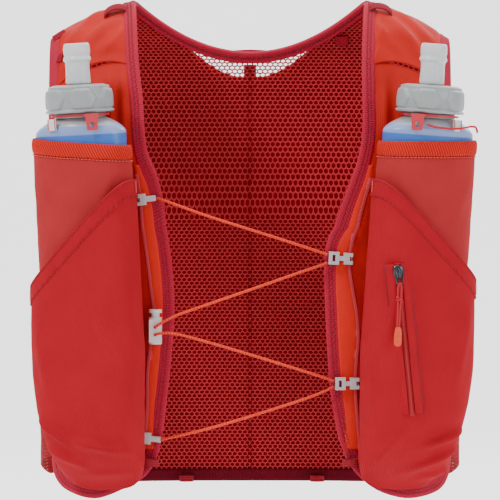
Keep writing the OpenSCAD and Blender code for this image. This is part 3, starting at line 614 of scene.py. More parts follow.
def materials():
    """Makes every material once, with colours from the scene's settings."""
    if MATERIALS:
        return MATERIALS
    c = bpy.context.scene.vest_colours
    # light shell cloth on the shoulders: smooth, with a faint plain weave
    MATERIALS["shoulder"] = fabric("shoulder cloth, woven", c.shoulder, plain_weave, 1.4,
                                   dark=0.82, depth=0.25, rough=0.6)
    # stretch twill of the stow pockets: fine diagonal lines
    MATERIALS["pocket"] = fabric("pocket twill, woven", c.pocket, twill, 1.5, dark=0.8)
    # its folded mouth: the same twill doubled, a little darker
    MATERIALS["pocket_hem"] = fabric("pocket hem, folded twill", c.pocket, twill, 1.5,
                                     dark=0.78, blotch=0.16)
    # warp-knit mesh over the flasks: a dusty red cross hatch
    MATERIALS["sleeve"] = fabric("sleeve mesh, warp knit", c.sleeve, hatch, 2.0, dark=0.62,
                                 blotch=0.16)
    # elastic hem of the sleeves: bright slanted ribs
    MATERIALS["hem"] = fabric("sleeve hem, slanted rib", c.knit, slant_ribs, 2.2, dark=0.5,
                              depth=0.9)
    # knit strips beside the lacing: bright upright ribs
    MATERIALS["knit"] = fabric("knit strip, rib", c.knit, hatch, 1.2, dark=0.85, depth=0.35)
    # folded edge binding: rose tape with fine cross ribs
    MATERIALS["binding"] = fabric("edge binding, folded tape", c.binding, ribs, 1.3, dark=0.7,
                                  depth=0.6, rough=0.7)
    # spacer mesh strands: glossy yarn, no pattern of its own
    MATERIALS["net"] = moulded("spacer mesh, knitted strands", c.net, rough=0.55, grain=0.1)
    # back shell behind the mesh: dark and matt, seen through the cells
    MATERIALS["shell"] = fabric("back shell, woven", "#B80016", plain_weave, 1.6, dark=0.8,
                                depth=0.3)
    # woven loops: ribbed webbing
    MATERIALS["webbing"] = fabric("webbing, ribbed", "#A82434", ribs, 1.5, dark=0.6, depth=0.9)
    MATERIALS["back_hem"] = fabric("back hem, folded tape", "#6E0A20", ribs, 1.3, dark=0.75)
    # side mesh: open warp knit
    MATERIALS["side"] = speckled("side mesh, open knit", "#C0242F", 2.6)
    # piping of the rails: pink with a darker braid
    MATERIALS["piping"] = fabric("rail piping, braided", "#C8404E", braid, 1.8, dark=0.6)
    # lacing cord: coral braid
    MATERIALS["cord"] = fabric("lacing cord, braided", "#F8452C", braid, 2.4, dark=0.6,
                               depth=0.8, rough=0.6)
    MATERIALS["thread"] = moulded("sewing thread, dark red", "#7E0C22", rough=0.6)
    MATERIALS["bright_thread"] = moulded("sewing thread, bright red", "#F0584C", rough=0.6)
    MATERIALS["tape"] = fabric("zip tape, woven", "#C42433", ribs, 1.2, dark=0.75)
    MATERIALS["coil"] = moulded("zip coil, nylon", "#B8101E", rough=0.45)
    MATERIALS["metal"] = moulded("slider, gunmetal", "#54565C", rough=0.28, Metallic=1.0)
    MATERIALS["spring"] = moulded("spring, steel wire", "#B8BABC", rough=0.25, Metallic=1.0)
    MATERIALS["rubber"] = moulded("puller tab, soft rubber", "#F0481E", rough=0.4,
                                  Subsurface_Weight=0.15, Subsurface_Scale=0.004)
    MATERIALS["puller_cord"] = fabric("puller cord, braided", "#D2303C", braid, 1.6, dark=0.6)
    MATERIALS["hook"] = moulded("hooks, moulded nylon", "#C9C7C9", rough=0.42)
    MATERIALS["lock"] = moulded("cord lock, moulded nylon", "#E9EAEC", rough=0.38)
    MATERIALS["cap"] = moulded("cap, moulded polypropylene", "#A6ABAC", rough=0.34, grain=0.06,
                               Subsurface_Weight=0.15, Subsurface_Scale=0.003)
    # bite valve: milky silicone that light soaks into
    MATERIALS["valve"] = moulded("bite valve, silicone", "#F4F8FA", rough=0.26,
                                 Subsurface_Weight=0.35, Subsurface_Scale=0.005,
                                 Transmission_Weight=0.2)
    MATERIALS["tether"] = moulded("tether, moulded", "#D83040", rough=0.4)
    MATERIALS["ribbon"] = fabric("ribbon tab, woven", "#F2F0F0", ribs, 1.0, dark=0.85)
    MATERIALS["patch"] = fabric("collar patch, tape", "#A01A2C", ribs, 1.4, dark=0.7)
    for side, word in ((-1, "right"), (1, "left")):
        foot, turn = flask_frame(side)
        axis = turn @ Vector((0, 0, 1))
        MATERIALS["film", side] = flask_film(f"flask film, {word}", c.film, foot * MM, axis,
                                             0.1893, 0.1822)
    return MATERIALS


# ---------------------------------------------------------------- flask frames

FLASK_A, FLASK_B, FLASK_H = 37.3, 22.5, 196.0
CAP_LOW = FLASK_H + 4
LEAN = {-1: -3.0, 1: 4.0}
SEAT_Y = FLASK_B + 2.6


def flask_frame(side):
    """A flask's foot and turn; its own z runs up the bag and -y faces the viewer."""
    yaw = math.radians(22)
    off = PANEL_T + 4 + FLASK_B
    x = -112.0 if side < 0 else 116.0
    y = torso([x, 0.0])[1]
    foot = Vector((x + side * off * math.sin(yaw), y - off * math.cos(yaw), 105.0 - SHOULDER_H))
    turn = (Matrix.Rotation(math.radians(LEAN[side]), 3, "Y")
            @ Matrix.Rotation(math.radians(-1.5), 3, "X")
            @ Matrix.Rotation(side * yaw, 3, "Z"))
    return foot, turn


def from_flask(side, points):
    foot, turn = flask_frame(side)
    return np.asarray(points, float) @ np.array(turn).T + np.array(foot)


# ---------------------------------------------------------------- geometry node trees

def new_tree(name, *inputs):
    """An empty geometry tree with its group nodes; inputs are (name, socket type) pairs."""
    tree = bpy.data.node_groups.new(name, "GeometryNodeTree")
    for label, kind in (("Geometry", "NodeSocketGeometry"),) + inputs:
        tree.interface.new_socket(label, in_out="INPUT", socket_type=kind)
    tree.interface.new_socket("Geometry", in_out="OUTPUT", socket_type="NodeSocketGeometry")
    return tree, tree.nodes.new("NodeGroupInput").outputs, tree.nodes.new("NodeGroupOutput")


def close_tree(tree, geometry, material, output):
    real = add(tree, "GeometryNodeRealizeInstances", links={"Geometry": geometry})
    done = add(tree, "GeometryNodeSetMaterial",
               links={"Geometry": real.outputs[0], "Material": material})
    tree.links.new(done.outputs[0], output.inputs[0])


def stitch_tree():
    """Stitches along loose edge lines, each laid flat on the cloth."""
    if "Sewn stitches" in bpy.data.node_groups:
        return bpy.data.node_groups["Sewn stitches"]
    tree, given, output = new_tree(
        "Sewn stitches", ("Pitch", "NodeSocketFloat"), ("Length", "NodeSocketFloat"),
        ("Thread", "NodeSocketFloat"), ("Zigzag", "NodeSocketFloat"),
        ("Material", "NodeSocketMaterial"), ("Seed", "NodeSocketInt"))
    curve = add(tree, "GeometryNodeMeshToCurve", links={"Mesh": given["Geometry"]})
    even = add(tree, "GeometryNodeResampleCurve", mode="LENGTH",
               links={"Curve": curve.outputs[0], "Length": given["Pitch"]})
    up = add(tree, "GeometryNodeInputNamedAttribute", {"Name": "up"}, data_type="FLOAT_VECTOR")
    tangent = add(tree, "GeometryNodeInputTangent")
    along = add(tree, "FunctionNodeAlignRotationToVector", axis="X",
                links={"Vector": tangent.outputs[0]})
    flat = add(tree, "FunctionNodeAlignRotationToVector", axis="Z", pivot_axis="X",
               links={"Rotation": along.outputs[0], "Vector": up.outputs[0]})
    index = add(tree, "GeometryNodeInputIndex")
    odd = calc(tree, "SUBTRACT", calc(tree, "MULTIPLY", calc(tree, "MODULO", index.outputs[0], 2.0),
                                      2.0), 1.0)
    stray = add(tree, "FunctionNodeRandomValue", {2: -0.06, 3: 0.06}, {"Seed": given["Seed"]},
                data_type="FLOAT")
    swing = calc(tree, "ADD", calc(tree, "MULTIPLY", odd, given["Zigzag"]), stray.outputs[1])
    turn = add(tree, "ShaderNodeCombineXYZ", links={"Z": swing})
    twist = add(tree, "FunctionNodeEulerToRotation", links={0: turn.outputs[0]})
    laid = add(tree, "FunctionNodeRotateRotation", rotation_space="LOCAL",
               links={0: flat.outputs[0], 1: twist.outputs[0]})
    bead = add(tree, "GeometryNodeMeshIcoSphere", {"Radius": 0.5, "Subdivisions": 1})
    size = add(tree, "ShaderNodeCombineXYZ",
               links={"X": given["Length"], "Y": given["Thread"], "Z": given["Thread"]})
    sewn = add(tree, "GeometryNodeInstanceOnPoints",
               links={"Points": even.outputs[0], "Instance": bead.outputs[0],
                      "Rotation": laid.outputs[0], "Scale": size.outputs[0]})
    close_tree(tree, sewn.outputs[0], given["Material"], output)
    return tree


def net_tree():
    """A knitted net from a grid of triangles: its dual's cells, each opened by a share."""
    if "Honeycomb net" in bpy.data.node_groups:
        return bpy.data.node_groups["Honeycomb net"]
    tree, given, output = new_tree(
        "Honeycomb net", ("Open", "NodeSocketFloat"), ("Thickness", "NodeSocketFloat"),
        ("Material", "NodeSocketMaterial"))
    cells = add(tree, "GeometryNodeDualMesh", links={"Mesh": given["Geometry"]})
    opened = add(tree, "GeometryNodeExtrudeMesh", {"Offset Scale": 0.0, "Individual": True},
                 {"Mesh": cells.outputs[0]}, mode="FACES")
    holes = add(tree, "GeometryNodeScaleElements",
                links={"Geometry": opened.outputs[0], "Selection": opened.outputs["Top"],
                       "Scale": given["Open"]}, domain="FACE")
    net = add(tree, "GeometryNodeDeleteGeometry", domain="FACE",
              links={"Geometry": holes.outputs[0], "Selection": opened.outputs["Top"]})
    joined = add(tree, "GeometryNodeMergeByDistance", {"Distance": 0.00005},
                 {"Geometry": net.outputs[0]})
    thick = add(tree, "GeometryNodeExtrudeMesh", {"Individual": False},
                {"Mesh": joined.outputs[0], "Offset Scale": given["Thickness"]}, mode="FACES")
    back = add(tree, "GeometryNodeFlipFaces", links={"Mesh": joined.outputs[0]})
    both = add(tree, "GeometryNodeJoinGeometry")
    tree.links.new(thick.outputs[0], both.inputs[0])
    tree.links.new(back.outputs[0], both.inputs[0])
    closed = add(tree, "GeometryNodeMergeByDistance", {"Distance": 0.00005},
                 {"Geometry": both.outputs[0]})
    close_tree(tree, closed.outputs[0], given["Material"], output)
    return tree


def coil_tree():
    """Coil teeth instanced along a loose edge line, each laid flat on the cloth."""
    if "Zip coil" in bpy.data.node_groups:
        return bpy.data.node_groups["Zip coil"]
    tree, given, output = new_tree(
        "Zip coil", ("Pitch", "NodeSocketFloat"), ("Tooth", "NodeSocketFloat"),
        ("Wire", "NodeSocketFloat"), ("Material", "NodeSocketMaterial"))
    curve = add(tree, "GeometryNodeMeshToCurve", links={"Mesh": given["Geometry"]})
    even = add(tree, "GeometryNodeResampleCurve", mode="LENGTH",
               links={"Curve": curve.outputs[0], "Length": given["Pitch"]})
    up = add(tree, "GeometryNodeInputNamedAttribute", {"Name": "up"}, data_type="FLOAT_VECTOR")
    tangent = add(tree, "GeometryNodeInputTangent")
    along = add(tree, "FunctionNodeAlignRotationToVector", axis="X",
                links={"Vector": tangent.outputs[0]})
    flat = add(tree, "FunctionNodeAlignRotationToVector", axis="Z", pivot_axis="X",
               links={"Rotation": along.outputs[0], "Vector": up.outputs[0]})
    tooth = add(tree, "GeometryNodeMeshIcoSphere", {"Radius": 0.5, "Subdivisions": 2})
    size = add(tree, "ShaderNodeCombineXYZ",
               links={"X": given["Wire"], "Y": given["Tooth"], "Z": given["Wire"]})
    placed = add(tree, "GeometryNodeInstanceOnPoints",
                 links={"Points": even.outputs[0], "Instance": tooth.outputs[0],
                        "Rotation": flat.outputs[0], "Scale": size.outputs[0]})
    close_tree(tree, placed.outputs[0], given["Material"], output)
    return tree


def run_tree(piece, tree, **values):
    """Runs a geometry tree on a piece and leaves its result as the piece's plain mesh."""
    mod = piece.modifiers.new(tree.name, "NODES")
    mod.node_group = tree
    for item in tree.interface.items_tree:
        if item.item_type == "SOCKET" and item.in_out == "INPUT" and item.name in values:
            mod[item.identifier] = values[item.name]
    bake(piece)
    if not len(piece.data.polygons):
        raise RuntimeError(f"{tree.name} made nothing for {piece.name}")
    piece.data.polygons.foreach_set("use_smooth", [True] * len(piece.data.polygons))
    return piece


def lines(name, paths, ups):
    """Loose edge lines through points in millimetres, with an 'up' direction at each point."""
    points = np.vstack(paths)
    start = np.cumsum([0] + [len(p) for p in paths])
    edges = [(k, k + 1) for a, p in zip(start, paths) for k in range(a, a + len(p) - 1)]
    mesh = bpy.data.meshes.new(name)
    mesh.from_pydata((points * MM).tolist(), edges, [])
    mesh.attributes.new("up", "FLOAT_VECTOR", "POINT").data.foreach_set(
        "vector", np.vstack(ups).astype(np.float32).ravel())
    piece = bpy.data.objects.new(name, mesh)
    bpy.context.scene.collection.objects.link(piece)
    return piece


def on_torso(path, off):
    """A pattern path's points on the torso and the outward direction at each."""
    points = lift(path, np.full(len(path), float(off)))
    return points, unit(lift(path, np.full(len(path), off + 1.0)) - points)


def sew(name, rows, thread, slot, pitch=3.4, zigzag=0.0, body="vest"):
    """One piece of stitches over several rows; each row is (points, outward directions)."""
    size = sizes()
    piece = lines(name, [r[0] for r in rows], [r[1] for r in rows])
    run_tree(piece, stitch_tree(), Pitch=pitch * MM, Length=size.stitch, Thread=size.thread_d,
             Zigzag=zigzag, Material=materials()[thread], Seed=7)
    return finish_piece(piece, body, slot)


# ---------------------------------------------------------------- front panels and trim

def named(side):
    return "r" if side < 0 else "l"


OUT = {
    -1: [(-149.6, 250), (-149.6, 204), (-155.6, 198), (-155.6, 70), (-155, 42), (-144, 34),
         (-142, 20), (-128, 11)],
    1: [(149.6, 250), (149.6, 204), (155.6, 198), (155.6, 70), (155, 42), (146, 34), (145, 20),
        (133, 11)],
}
BINDING = 10.0
TUCK = 2.5              # cloth runs this far under the bindings
YOKE_FRONT, YOKE_BACK = 46, 112
ARM_X0, ARM_X1 = 150.0, 158.0


def fade(n, m, soft=0.12):
    """A mask over an n by m grid that falls to zero at its rim."""
    def run(count):
        t = np.linspace(0, 1, count)
        return np.clip(np.minimum(t, 1 - t) / soft, 0, 1)
    mask = np.minimum(run(n)[:, None], run(m)[None, :])
    return mask * mask * (3 - 2 * mask)


PANEL_FOLDS = {
    -1: [((-138, 345), (-128, 225), 4, 3.2), ((-124, 350), (-117, 235), 3.6, 3.6),
         ((-111, 350), (-108, 240), 3.4, 3.4), ((-99, 345), (-99, 255), 3.0, 2.6)],
    1: [((136, 345), (128, 235), 4, 3.2), ((120, 350), (117, 240), 3.8, 3.2),
        ((105, 345), (106, 250), 3.4, 2.6)],
}


def make_front_panel(side):
    seam = s_angle(YOKE_FRONT)
    path = edge(side, BINDING - TUCK)
    tip = int(np.argmax(np.abs(path[:, 0]) >= (122 if side < 0 else 128)))
    start = int(np.argmax(path[:, 1] <= seam))
    inner = resample(path[start:tip + 1], 120)
    outer = resample(np.vstack([[(side * (ARM_X0 + TUCK), seam)], on_front(OUT[side])]), 120)
    grid = ruled(inner, outer, 48)
    relief = sum(fold(grid[..., 0], grid[..., 1], *f) for f in PANEL_FOLDS[side])
    relief = relief + 0.9 * (1 + bumps(grid[..., 0], grid[..., 1], 16, side))
    relief = relief * fade(120, 48)
    piece = cloth(f"front_panel_cloth_{named(side)}", grid, 0, PANEL_T, materials()["shoulder"],
                  relief)
    return finish_piece(piece, "vest", "shoulder_cloth", f"front_panel_{named(side)}")


YOKE_FOLDS = {
    -1: [((-140, 322), (-104, 372), 7, 3.0), ((-118, 318), (-96, 352), 5, 2.6),
         ((-146, 350), (-112, 404), 8, 2.4), ((-98, 322), (-94, 392), 4.5, 1.8)],
    1: [((142, 320), (104, 378), 7, 2.8), ((120, 318), (96, 356), 5, 2.6),
        ((146, 352), (108, 400), 8, 2.2), ((100, 330), (96, 396), 4.5, 1.6)],
}


def make_yoke(side):
    front = edge(side, BINDING - TUCK)
    collar = neckline(BINDING - TUCK)
    half = collar[collar[:, 0] * side > 0]
    half = half[np.argsort(half[:, 1])]
    share = np.linspace(0, 1, 56)
    low = s_angle(YOKE_FRONT - 3) + 9 * np.sin(math.pi * share) ** 0.8
    run = np.linspace(0, 1, 100)[:, None]
    s = low + (s_angle(YOKE_BACK) - low) * run
    inner_x = np.where(s < s_angle(90), x_at(front, s), np.interp(s, half[:, 1], half[:, 0]))
    outer_x = side * (ARM_X0 + TUCK)
    grid = np.stack([inner_x + (outer_x - inner_x) * share, s], -1)
    relief = sum(fold(grid[..., 0], grid[..., 1], *f) for f in YOKE_FOLDS[side])
    relief = relief + 1.6 * (1 + bumps(grid[..., 0], grid[..., 1], 20, 5 + side))
    lap = 1.6 * np.exp(-(run / 0.05) ** 2) * np.sin(math.pi * share) ** 0.5
    piece = cloth(f"yoke_cloth_{named(side)}", grid, 0, PANEL_T, materials()["shoulder"],
                  relief * fade(100, 56) + lap)
    return finish_piece(piece, "vest", "shoulder_cloth", f"yoke_{named(side)}")


def make_front_binding(side):
    piece = band(f"front_binding_tape_{named(side)}", edge(side), side * BINDING, -1.2, 2.4,
                 materials()["binding"], groove=0.3)
    return finish_piece(piece, "vest", "edge_binding", f"front_binding_{named(side)}")


def make_neck_binding():
    piece = band("neck_binding_tape", neckline(), BINDING, -1.2, 3.8, materials()["binding"],
                 groove=0.6)
    return finish_piece(piece, "vest", "edge_binding", "neck_binding")


def make_arm_binding(side):
    s = np.linspace(s_angle(0), s_angle(180), 120)
    over = np.stack([np.full(120, side * ARM_X0), s], -1)
    tape = band(f"arm_binding_tape_{named(side)}", over, -side * (ARM_X1 - ARM_X0), -1.2, 2.4,
                materials()["binding"], groove=0.4)
    finish_piece(tape, "vest", "edge_binding", f"arm_binding_{named(side)}")
    turn = np.linspace(28, -28, 50)

    def place(q, off):
        return flank(side, q[..., 0], q[..., 1], off)
    across = np.linspace(0, 2 * math.pi, 25)[:-1]
    h = ARCH_H - 5 + 4 * -np.sign(np.cos(across)) * np.abs(np.cos(across)) ** 0.6
    off = 0.6 + 1.8 * np.sign(np.sin(across)) * np.abs(np.sin(across)) ** 0.5
    q = np.stack([np.broadcast_to(turn[:, None], (50, 24)), np.broadcast_to(h, (50, 24))], -1)
    rings = place(q, np.broadcast_to(off, (50, 24)))
    uv = np.stack([np.broadcast_to((turn * 2.4)[:, None], (50, 24)),
                   np.broadcast_to(h, (50, 24))], -1)
    under = loft(f"arm_binding_under_{named(side)}", rings, uv, materials()["binding"])
    return finish_piece(under, "vest", "edge_binding")


def make_knit_strip(side):
    near, far = edge(side, BINDING - 1), rail(side)[::-1]
    s = np.linspace(40, 242, 150)
    far_x = np.interp(s, far[:, 1], far[:, 0]) + side * 2.2
    grid = ruled(np.stack([x_at(near, s), s], -1), np.stack([far_x, s], -1), 12)
    across = np.linspace(0, 1, 12)[None, :]
    relief = 0.5 * np.sin(math.pi * across) * np.ones((150, 1))
    piece = cloth(f"knit_strip_cloth_{named(side)}", grid, PANEL_T + 0.2, PANEL_T + 1,
                  materials()["knit"], relief, 0.0)
    return finish_piece(piece, "vest", "rib_knit", f"knit_strip_{named(side)}")


TACKS = {-1: (0.42, 0.5, 0.6), 1: (0, 0.14, 0.52, 0.6, 0.97)}


def make_rail(side):
    path = rail(side)
    piece = band(f"rail_piping_{named(side)}", beside(path, np.full(len(path), 1.2)), -2.4,
                 4.4, 5.6, materials()["piping"], crown=0.6)
    finish_piece(piece, "vest", "rail_cord", f"rail_{named(side)}")
    for k, share in enumerate(TACKS[side]):
        part = resample(path, 8, share, share + 0.03)
        tack = band(f"rail_tack_{named(side)}_{k}", beside(part, np.full(8, 1.6)), -3.2,
                    PANEL_T + 1.1, 4.8, materials()["piping"])
        finish_piece(tack, "vest", "rail_cord")
    return piece


def make_side_panel(side):
    turn = np.linspace(22.4, -29.2, 60)
    share = np.linspace(0, 1, 80)
    low = 32 + (BACK_RISE - 32) * np.clip((22.4 - turn) / 40, 0, 1)
    h = low[:, None] + (ARCH_H - 9.4 - low[:, None]) * share[None, :]
    a = np.broadcast_to(turn[:, None], h.shape)
    relief = 0.8 * bumps(a * 2.4, h, 18, side) * fade(60, 80)
    outer = flank(side, a, h, PANEL_T + relief)
    inner = flank(side, a, h, relief)
    uv = np.stack([a * 2.4, h], -1)
    piece = skin(f"side_mesh_{named(side)}", outer, inner, uv, materials()["side"])
    return finish_piece(piece, "vest", "side_mesh", f"side_panel_{named(side)}")


def edge_rows(side):
    """Stitch rows down the middle of a front binding, on its outer face."""
    rows = []
    for d in (3.7, 6.3):
        rows.append(on_torso(edge(side, d)[2:-2], 2.25))
    return rows


# ---------------------------------------------------------------- back

def mesh_top(x):
    collar = neckline(BINDING - TUCK)
    order = np.argsort(collar[:, 0])
    return np.maximum(np.interp(x, collar[order, 0], collar[order, 1]), s_angle(YOKE_BACK))


def shell_top(x):
    return np.where(np.abs(x) < 56, s_back(x, 326 + 32 * (x / 56) ** 2), mesh_top(x))


def make_back_net(side):
    """Half of the honeycomb mesh, as a staggered grid of triangles that becomes a net."""
    size = sizes()
    dx, dy = size.hex_pitch / MM, size.hex_pitch * 0.72 / MM
    cols = int(ARM_X0 / dx)
    x = side * (np.arange(-1, cols) * dx)
    top = float(mesh_top(np.array([0.0, 60.0, 100.0])).min())
    rows = int((BACK_BOTTOM + 2 * dy - top) / dy)
    s = BACK_BOTTOM + 2 * dy - np.arange(rows + 1) * dy
    gx, gs = np.meshgrid(x, s)
    gx = gx + side * dx * 0.5 * (np.arange(rows + 1) % 2)[:, None]
    gx = np.clip(gx, -ARM_X0 + 0.5, ARM_X0 - 0.5)
    keep = gs >= mesh_top(gx) - dy
    gs = np.maximum(gs, mesh_top(gx))
    points = lift(np.stack([gx, gs], -1), np.full(gx.shape, MESH_T * 0.35))
    faces = []
    for r in range(rows):
        for c in range(cols):
            a, b = (r, c), (r, c + 1)
            d, e = (r + 1, c), (r + 1, c + 1)
            pair = [(a, b, e), (a, e, d)] if r % 2 else [(a, b, d), (b, e, d)]
            faces += [t for t in pair if all(keep[i] for i in t)]
    cols += 1
    order = 1 if side > 0 else -1
    index = [[i * cols + j for i, j in t][::order] for t in faces]
    piece = add_mesh(f"back_net_{named(side)}", points.reshape(-1, 3), index)
    work = bmesh.new()
    work.from_mesh(piece.data)
    loose = [v for v in work.verts if not v.link_faces]
    bmesh.ops.delete(work, geom=loose, context="VERTS")
    bmesh.ops.remove_doubles(work, verts=work.verts, dist=2e-5)
    bmesh.ops.recalc_face_normals(work, faces=work.faces)
    work.to_mesh(piece.data)
    work.free()
    run_tree(piece, net_tree(), Open=0.74, Thickness=0.9 * MM, Material=materials()["net"])
    outward(piece)
    return finish_piece(piece, "vest", "spacer_mesh", *(["back_mesh"] if side < 0 else []))


def make_back_shell():
    x = np.linspace(-148, 148, 120)
    top = shell_top(x)
    s = top + (BACK_BOTTOM + 3 - top) * np.linspace(0, 1, 140)[:, None]
    grid = np.stack([np.broadcast_to(x, s.shape), s], -1)
    relief = 1.2 * bumps(grid[..., 0], grid[..., 1], 34, 9) * fade(140, 120)
    shell = cloth("back_shell_cloth", grid, MESH_T + 0.8, MESH_T + 2, materials()["shell"],
                  np.maximum(relief, 0), 0.0)
    return finish_piece(shell, "vest", "shell_cloth", "back_shell")


def make_back_trim():
    m = materials()
    low = BACK_BOTTOM + 0.4
    path = np.stack([np.linspace(-ARM_X0, ARM_X0, 200), np.full(200, low)], -1)
    hem = band("back_hem_tape", path, BINDING, -0.8, MESH_T + 2.6, m["back_hem"], groove=0.4)
    finish_piece(hem, "vest", "hem_band", "back_hem")
    top = float(s_back(0, SHOULDER_H - 52))
    line = np.stack([np.zeros(60), top + np.linspace(0, 78, 60)], -1)
    strap = band("back_strap_tape", beside(line, np.full(60, -5.0)), 10, MESH_T + 2.3,
                 MESH_T + 3.5, m["webbing"], crown=0.4)
    finish_piece(strap, "vest", "webbing", "back_strap")
    top = float(s_back(0, SHOULDER_H - 45))
    turn = np.linspace(0, math.pi, 40)
    wide = np.linspace(-4, 4, 9)
    rows = [np.stack([np.broadcast_to((r * np.cos(turn))[:, None], (40, 9)),
                      np.broadcast_to(top + wide * 0.6, (40, 9))], -1) for r in (22.4, 20.3)]
    outer = lift(rows[0], np.broadcast_to((4.6 + 7.5 * np.sin(turn))[:, None], (40, 9)))
    inner = lift(rows[1], np.broadcast_to((4 + 6.45 * np.sin(turn))[:, None], (40, 9)))
    uv = np.stack([np.broadcast_to((turn * 15)[:, None], (40, 9)),
                   np.broadcast_to(wide, (40, 9))], -1)
    loop = skin("hang_loop_tape", outer, inner, uv, m["webbing"])
    finish_piece(loop, "vest", "webbing", "hang_loop")
    s0 = float(s_back(74, ridge(74) - 26))
    grid = np.stack(np.meshgrid(np.linspace(69, 79, 14), np.linspace(s0, s0 + 10, 14)), -1)
    patch = cloth("collar_patch_cloth", grid, -1.8, -1.1, m["patch"])
    finish_piece(patch, "vest", "edge_binding", "collar_patch")


# ---------------------------------------------------------------- sleeves and pockets

def wrap(t, a, front, mid, power):
    """A level section round a flask: a superellipse in front, legs back to the panel."""
    k, w = np.clip((np.abs(t) - 90) / 40, 0, 1), np.sign(t)
    r = np.radians(t)
    bow = np.abs(t) <= 90
    x = np.where(bow, w * a * np.abs(np.sin(r)) ** (2 / power), w * a * (1 - 0.24 * k ** 1.6))
    y = np.where(bow, mid + (front - mid) * np.maximum(0, np.cos(r)) ** (2 / power),
                 mid + (SEAT_Y - mid) * k)
    return x, y


def sleeve_points(t, z, grow):
    close = np.where(z < 0, oval(z / 8, 2), 1.0)
    x, y = wrap(t, (FLASK_A + 1) * close + grow, -((FLASK_B + 1) * close + grow), 0.0, 2.2)
    return np.stack([x, y, np.broadcast_to(z, x.shape)], -1)


def sleeve_top(side, t):
    x = FLASK_A * np.sin(np.radians(np.clip(t, -90, 90)))
    return 177.5 - 0.12 * x if side < 0 else 178.5 + 0.07 * x


ARC = np.linspace(-130, 130, 121)


def arc_uv(points, z, side=1):
    """UVs from the true length round each row, counted from the row's middle."""
    step = np.linalg.norm(np.diff(points, axis=1), axis=2)
    run = np.hstack([np.zeros((len(z), 1)), np.cumsum(step, axis=1)])
    return np.stack([(run - run[:, [z.shape[1] // 2]]) * side, z], -1)


def make_sleeve(side):
    top = sleeve_top(side, ARC) - 12.3
    low = np.array([-7.6, -7.2, -6.4, -5.2, -3.6, -1.8])[:, None] * np.ones((1, 121))
    z = np.vstack([low, top * np.linspace(0, 1, 70)[:, None]])
    t = np.broadcast_to(ARC, z.shape)
    relief = 0.35 * (1 + bumps(t * 0.62, z, 14, side)) * fade(76, 121, 0.06)
    relief = relief + fold(t * 0.62, z, (-30, 150), (-8, 120), 4, 0.8) \
        + fold(t * 0.62, z, (34, 158), (12, 112), 5, 0.9)
    outer = from_flask(side, sleeve_points(t, z, 1.2 + relief))
    inner = from_flask(side, sleeve_points(t, z, np.zeros(z.shape)))
    piece = skin(f"sleeve_cloth_{named(side)}", outer, inner, arc_uv(outer, z), materials()["sleeve"])
    return finish_piece(piece, "vest", "stretch_mesh", f"sleeve_{named(side)}")


def make_sleeve_hem(side):
    top = sleeve_top(side, ARC)
    v = np.linspace(0, 1, 13)[:, None]
    z = top - 12 + 12 * v
    t = np.broadcast_to(ARC, z.shape)
    crown = 1.1 + 1.1 * (1 - np.abs(2 * v - 1) ** 3)
    ripple = 0.22 * np.sin((t * 0.62 + z * 0.45) * 2 * math.pi / 2.2) * fade(13, 121, 0.1)
    outer = from_flask(side, sleeve_points(t, z, crown + ripple))
    inner = from_flask(side, sleeve_points(t, z, np.zeros(z.shape)))
    piece = skin(f"sleeve_hem_knit_{named(side)}", outer, inner, arc_uv(outer, z), materials()["hem"])
    return finish_piece(piece, "vest", "rib_knit", f"sleeve_hem_{named(side)}")


POCKET_LOW = -88
POCKET_IN = [(-99, 19), (-88, 27), (-72, 31), (-45, 34), (-15, 38), (10, 41), (100, 41)]
POCKET_OUT = [(-99, 21), (-88, 33), (-60, 41), (-30, 45), (0, 47), (30, 46), (80, 42), (100, 41)]
POCKET_FRONT = [(-99, 21), (-88, 14), (-78, -2), (-62, -14), (-35, -22.8), (82, -29), (150, -32)]


def soft_lookup(z, table):
    """The table's value at z, with its corners rounded."""
    rows = np.array(table, float)
    return sum(np.interp(z + d, rows[:, 0], rows[:, 1]) for d in (-6, -2, 2, 6)) / 4


def pocket_points(side, t, z, grow):
    inner = t * side < 0
    a = np.where(inner, soft_lookup(z, POCKET_IN), soft_lookup(z, POCKET_OUT)) + grow
    front = soft_lookup(z, POCKET_FRONT) - grow
    mid = np.interp(z, [-88, -50, 0], [20, 8, 0])
    x, y = wrap(t, a, front, mid, 3)
    return np.stack([x, y, np.broadcast_to(z, x.shape)], -1)


def pocket_top(side, t):
    turn = np.sin(np.radians(np.clip(t, -90, 90)))
    share = (1 + np.sign(turn) * np.abs(turn) ** (2 / 3)) / 2
    return 64 + 82 * share if side < 0 else 146 - 76 * share


POCKET_FOLDS = {
    -1: [((-40, -36), (-14, -59), 3.2, 5.5), ((-16, -56), (30, -68), 3.4, 5.5),
         ((-38, -60), (-4, -80), 3.2, 4.5), ((-20, -84), (30, -84), 3.0, 3.2),
         ((-34, 40), (-26, -24), 6, 3.0), ((16, 66), (30, -10), 6, 2.6)],
    1: [((2, -64), (40, -45), 3.2, 6.5), ((-6, -86), (40, -60), 3.4, 6.5),
        ((10, -90), (40, -76), 3.0, 4.5), ((-12, -46), (-26, -82), 5, 3.4),
        ((34, 56), (24, -20), 6, 3.0), ((-22, 96), (-30, 20), 5, 2.4)],
}
POCKET_ARC = np.linspace(-130, 130, 161)
MOUTH = 15.0            # height of the pocket's folded mouth


def pocket_sag(side, t, z):
    """Folds and slack of the pocket cloth, in millimetres."""
    u = pocket_points(side, t, z, 0)[..., 0]
    folds = sum(fold(u, z, *f) for f in POCKET_FOLDS[side])
    folds = folds * np.clip((118 - np.abs(t)) / 24, 0, 1)
    slack = 1.1 * (1 + bumps(u, z, 26, 3 * side)) + 0.3 * (1 + bumps(u, z, 9, 11 + side))
    return folds + slack * np.clip((40 - z) / 60, 0.25, 1)


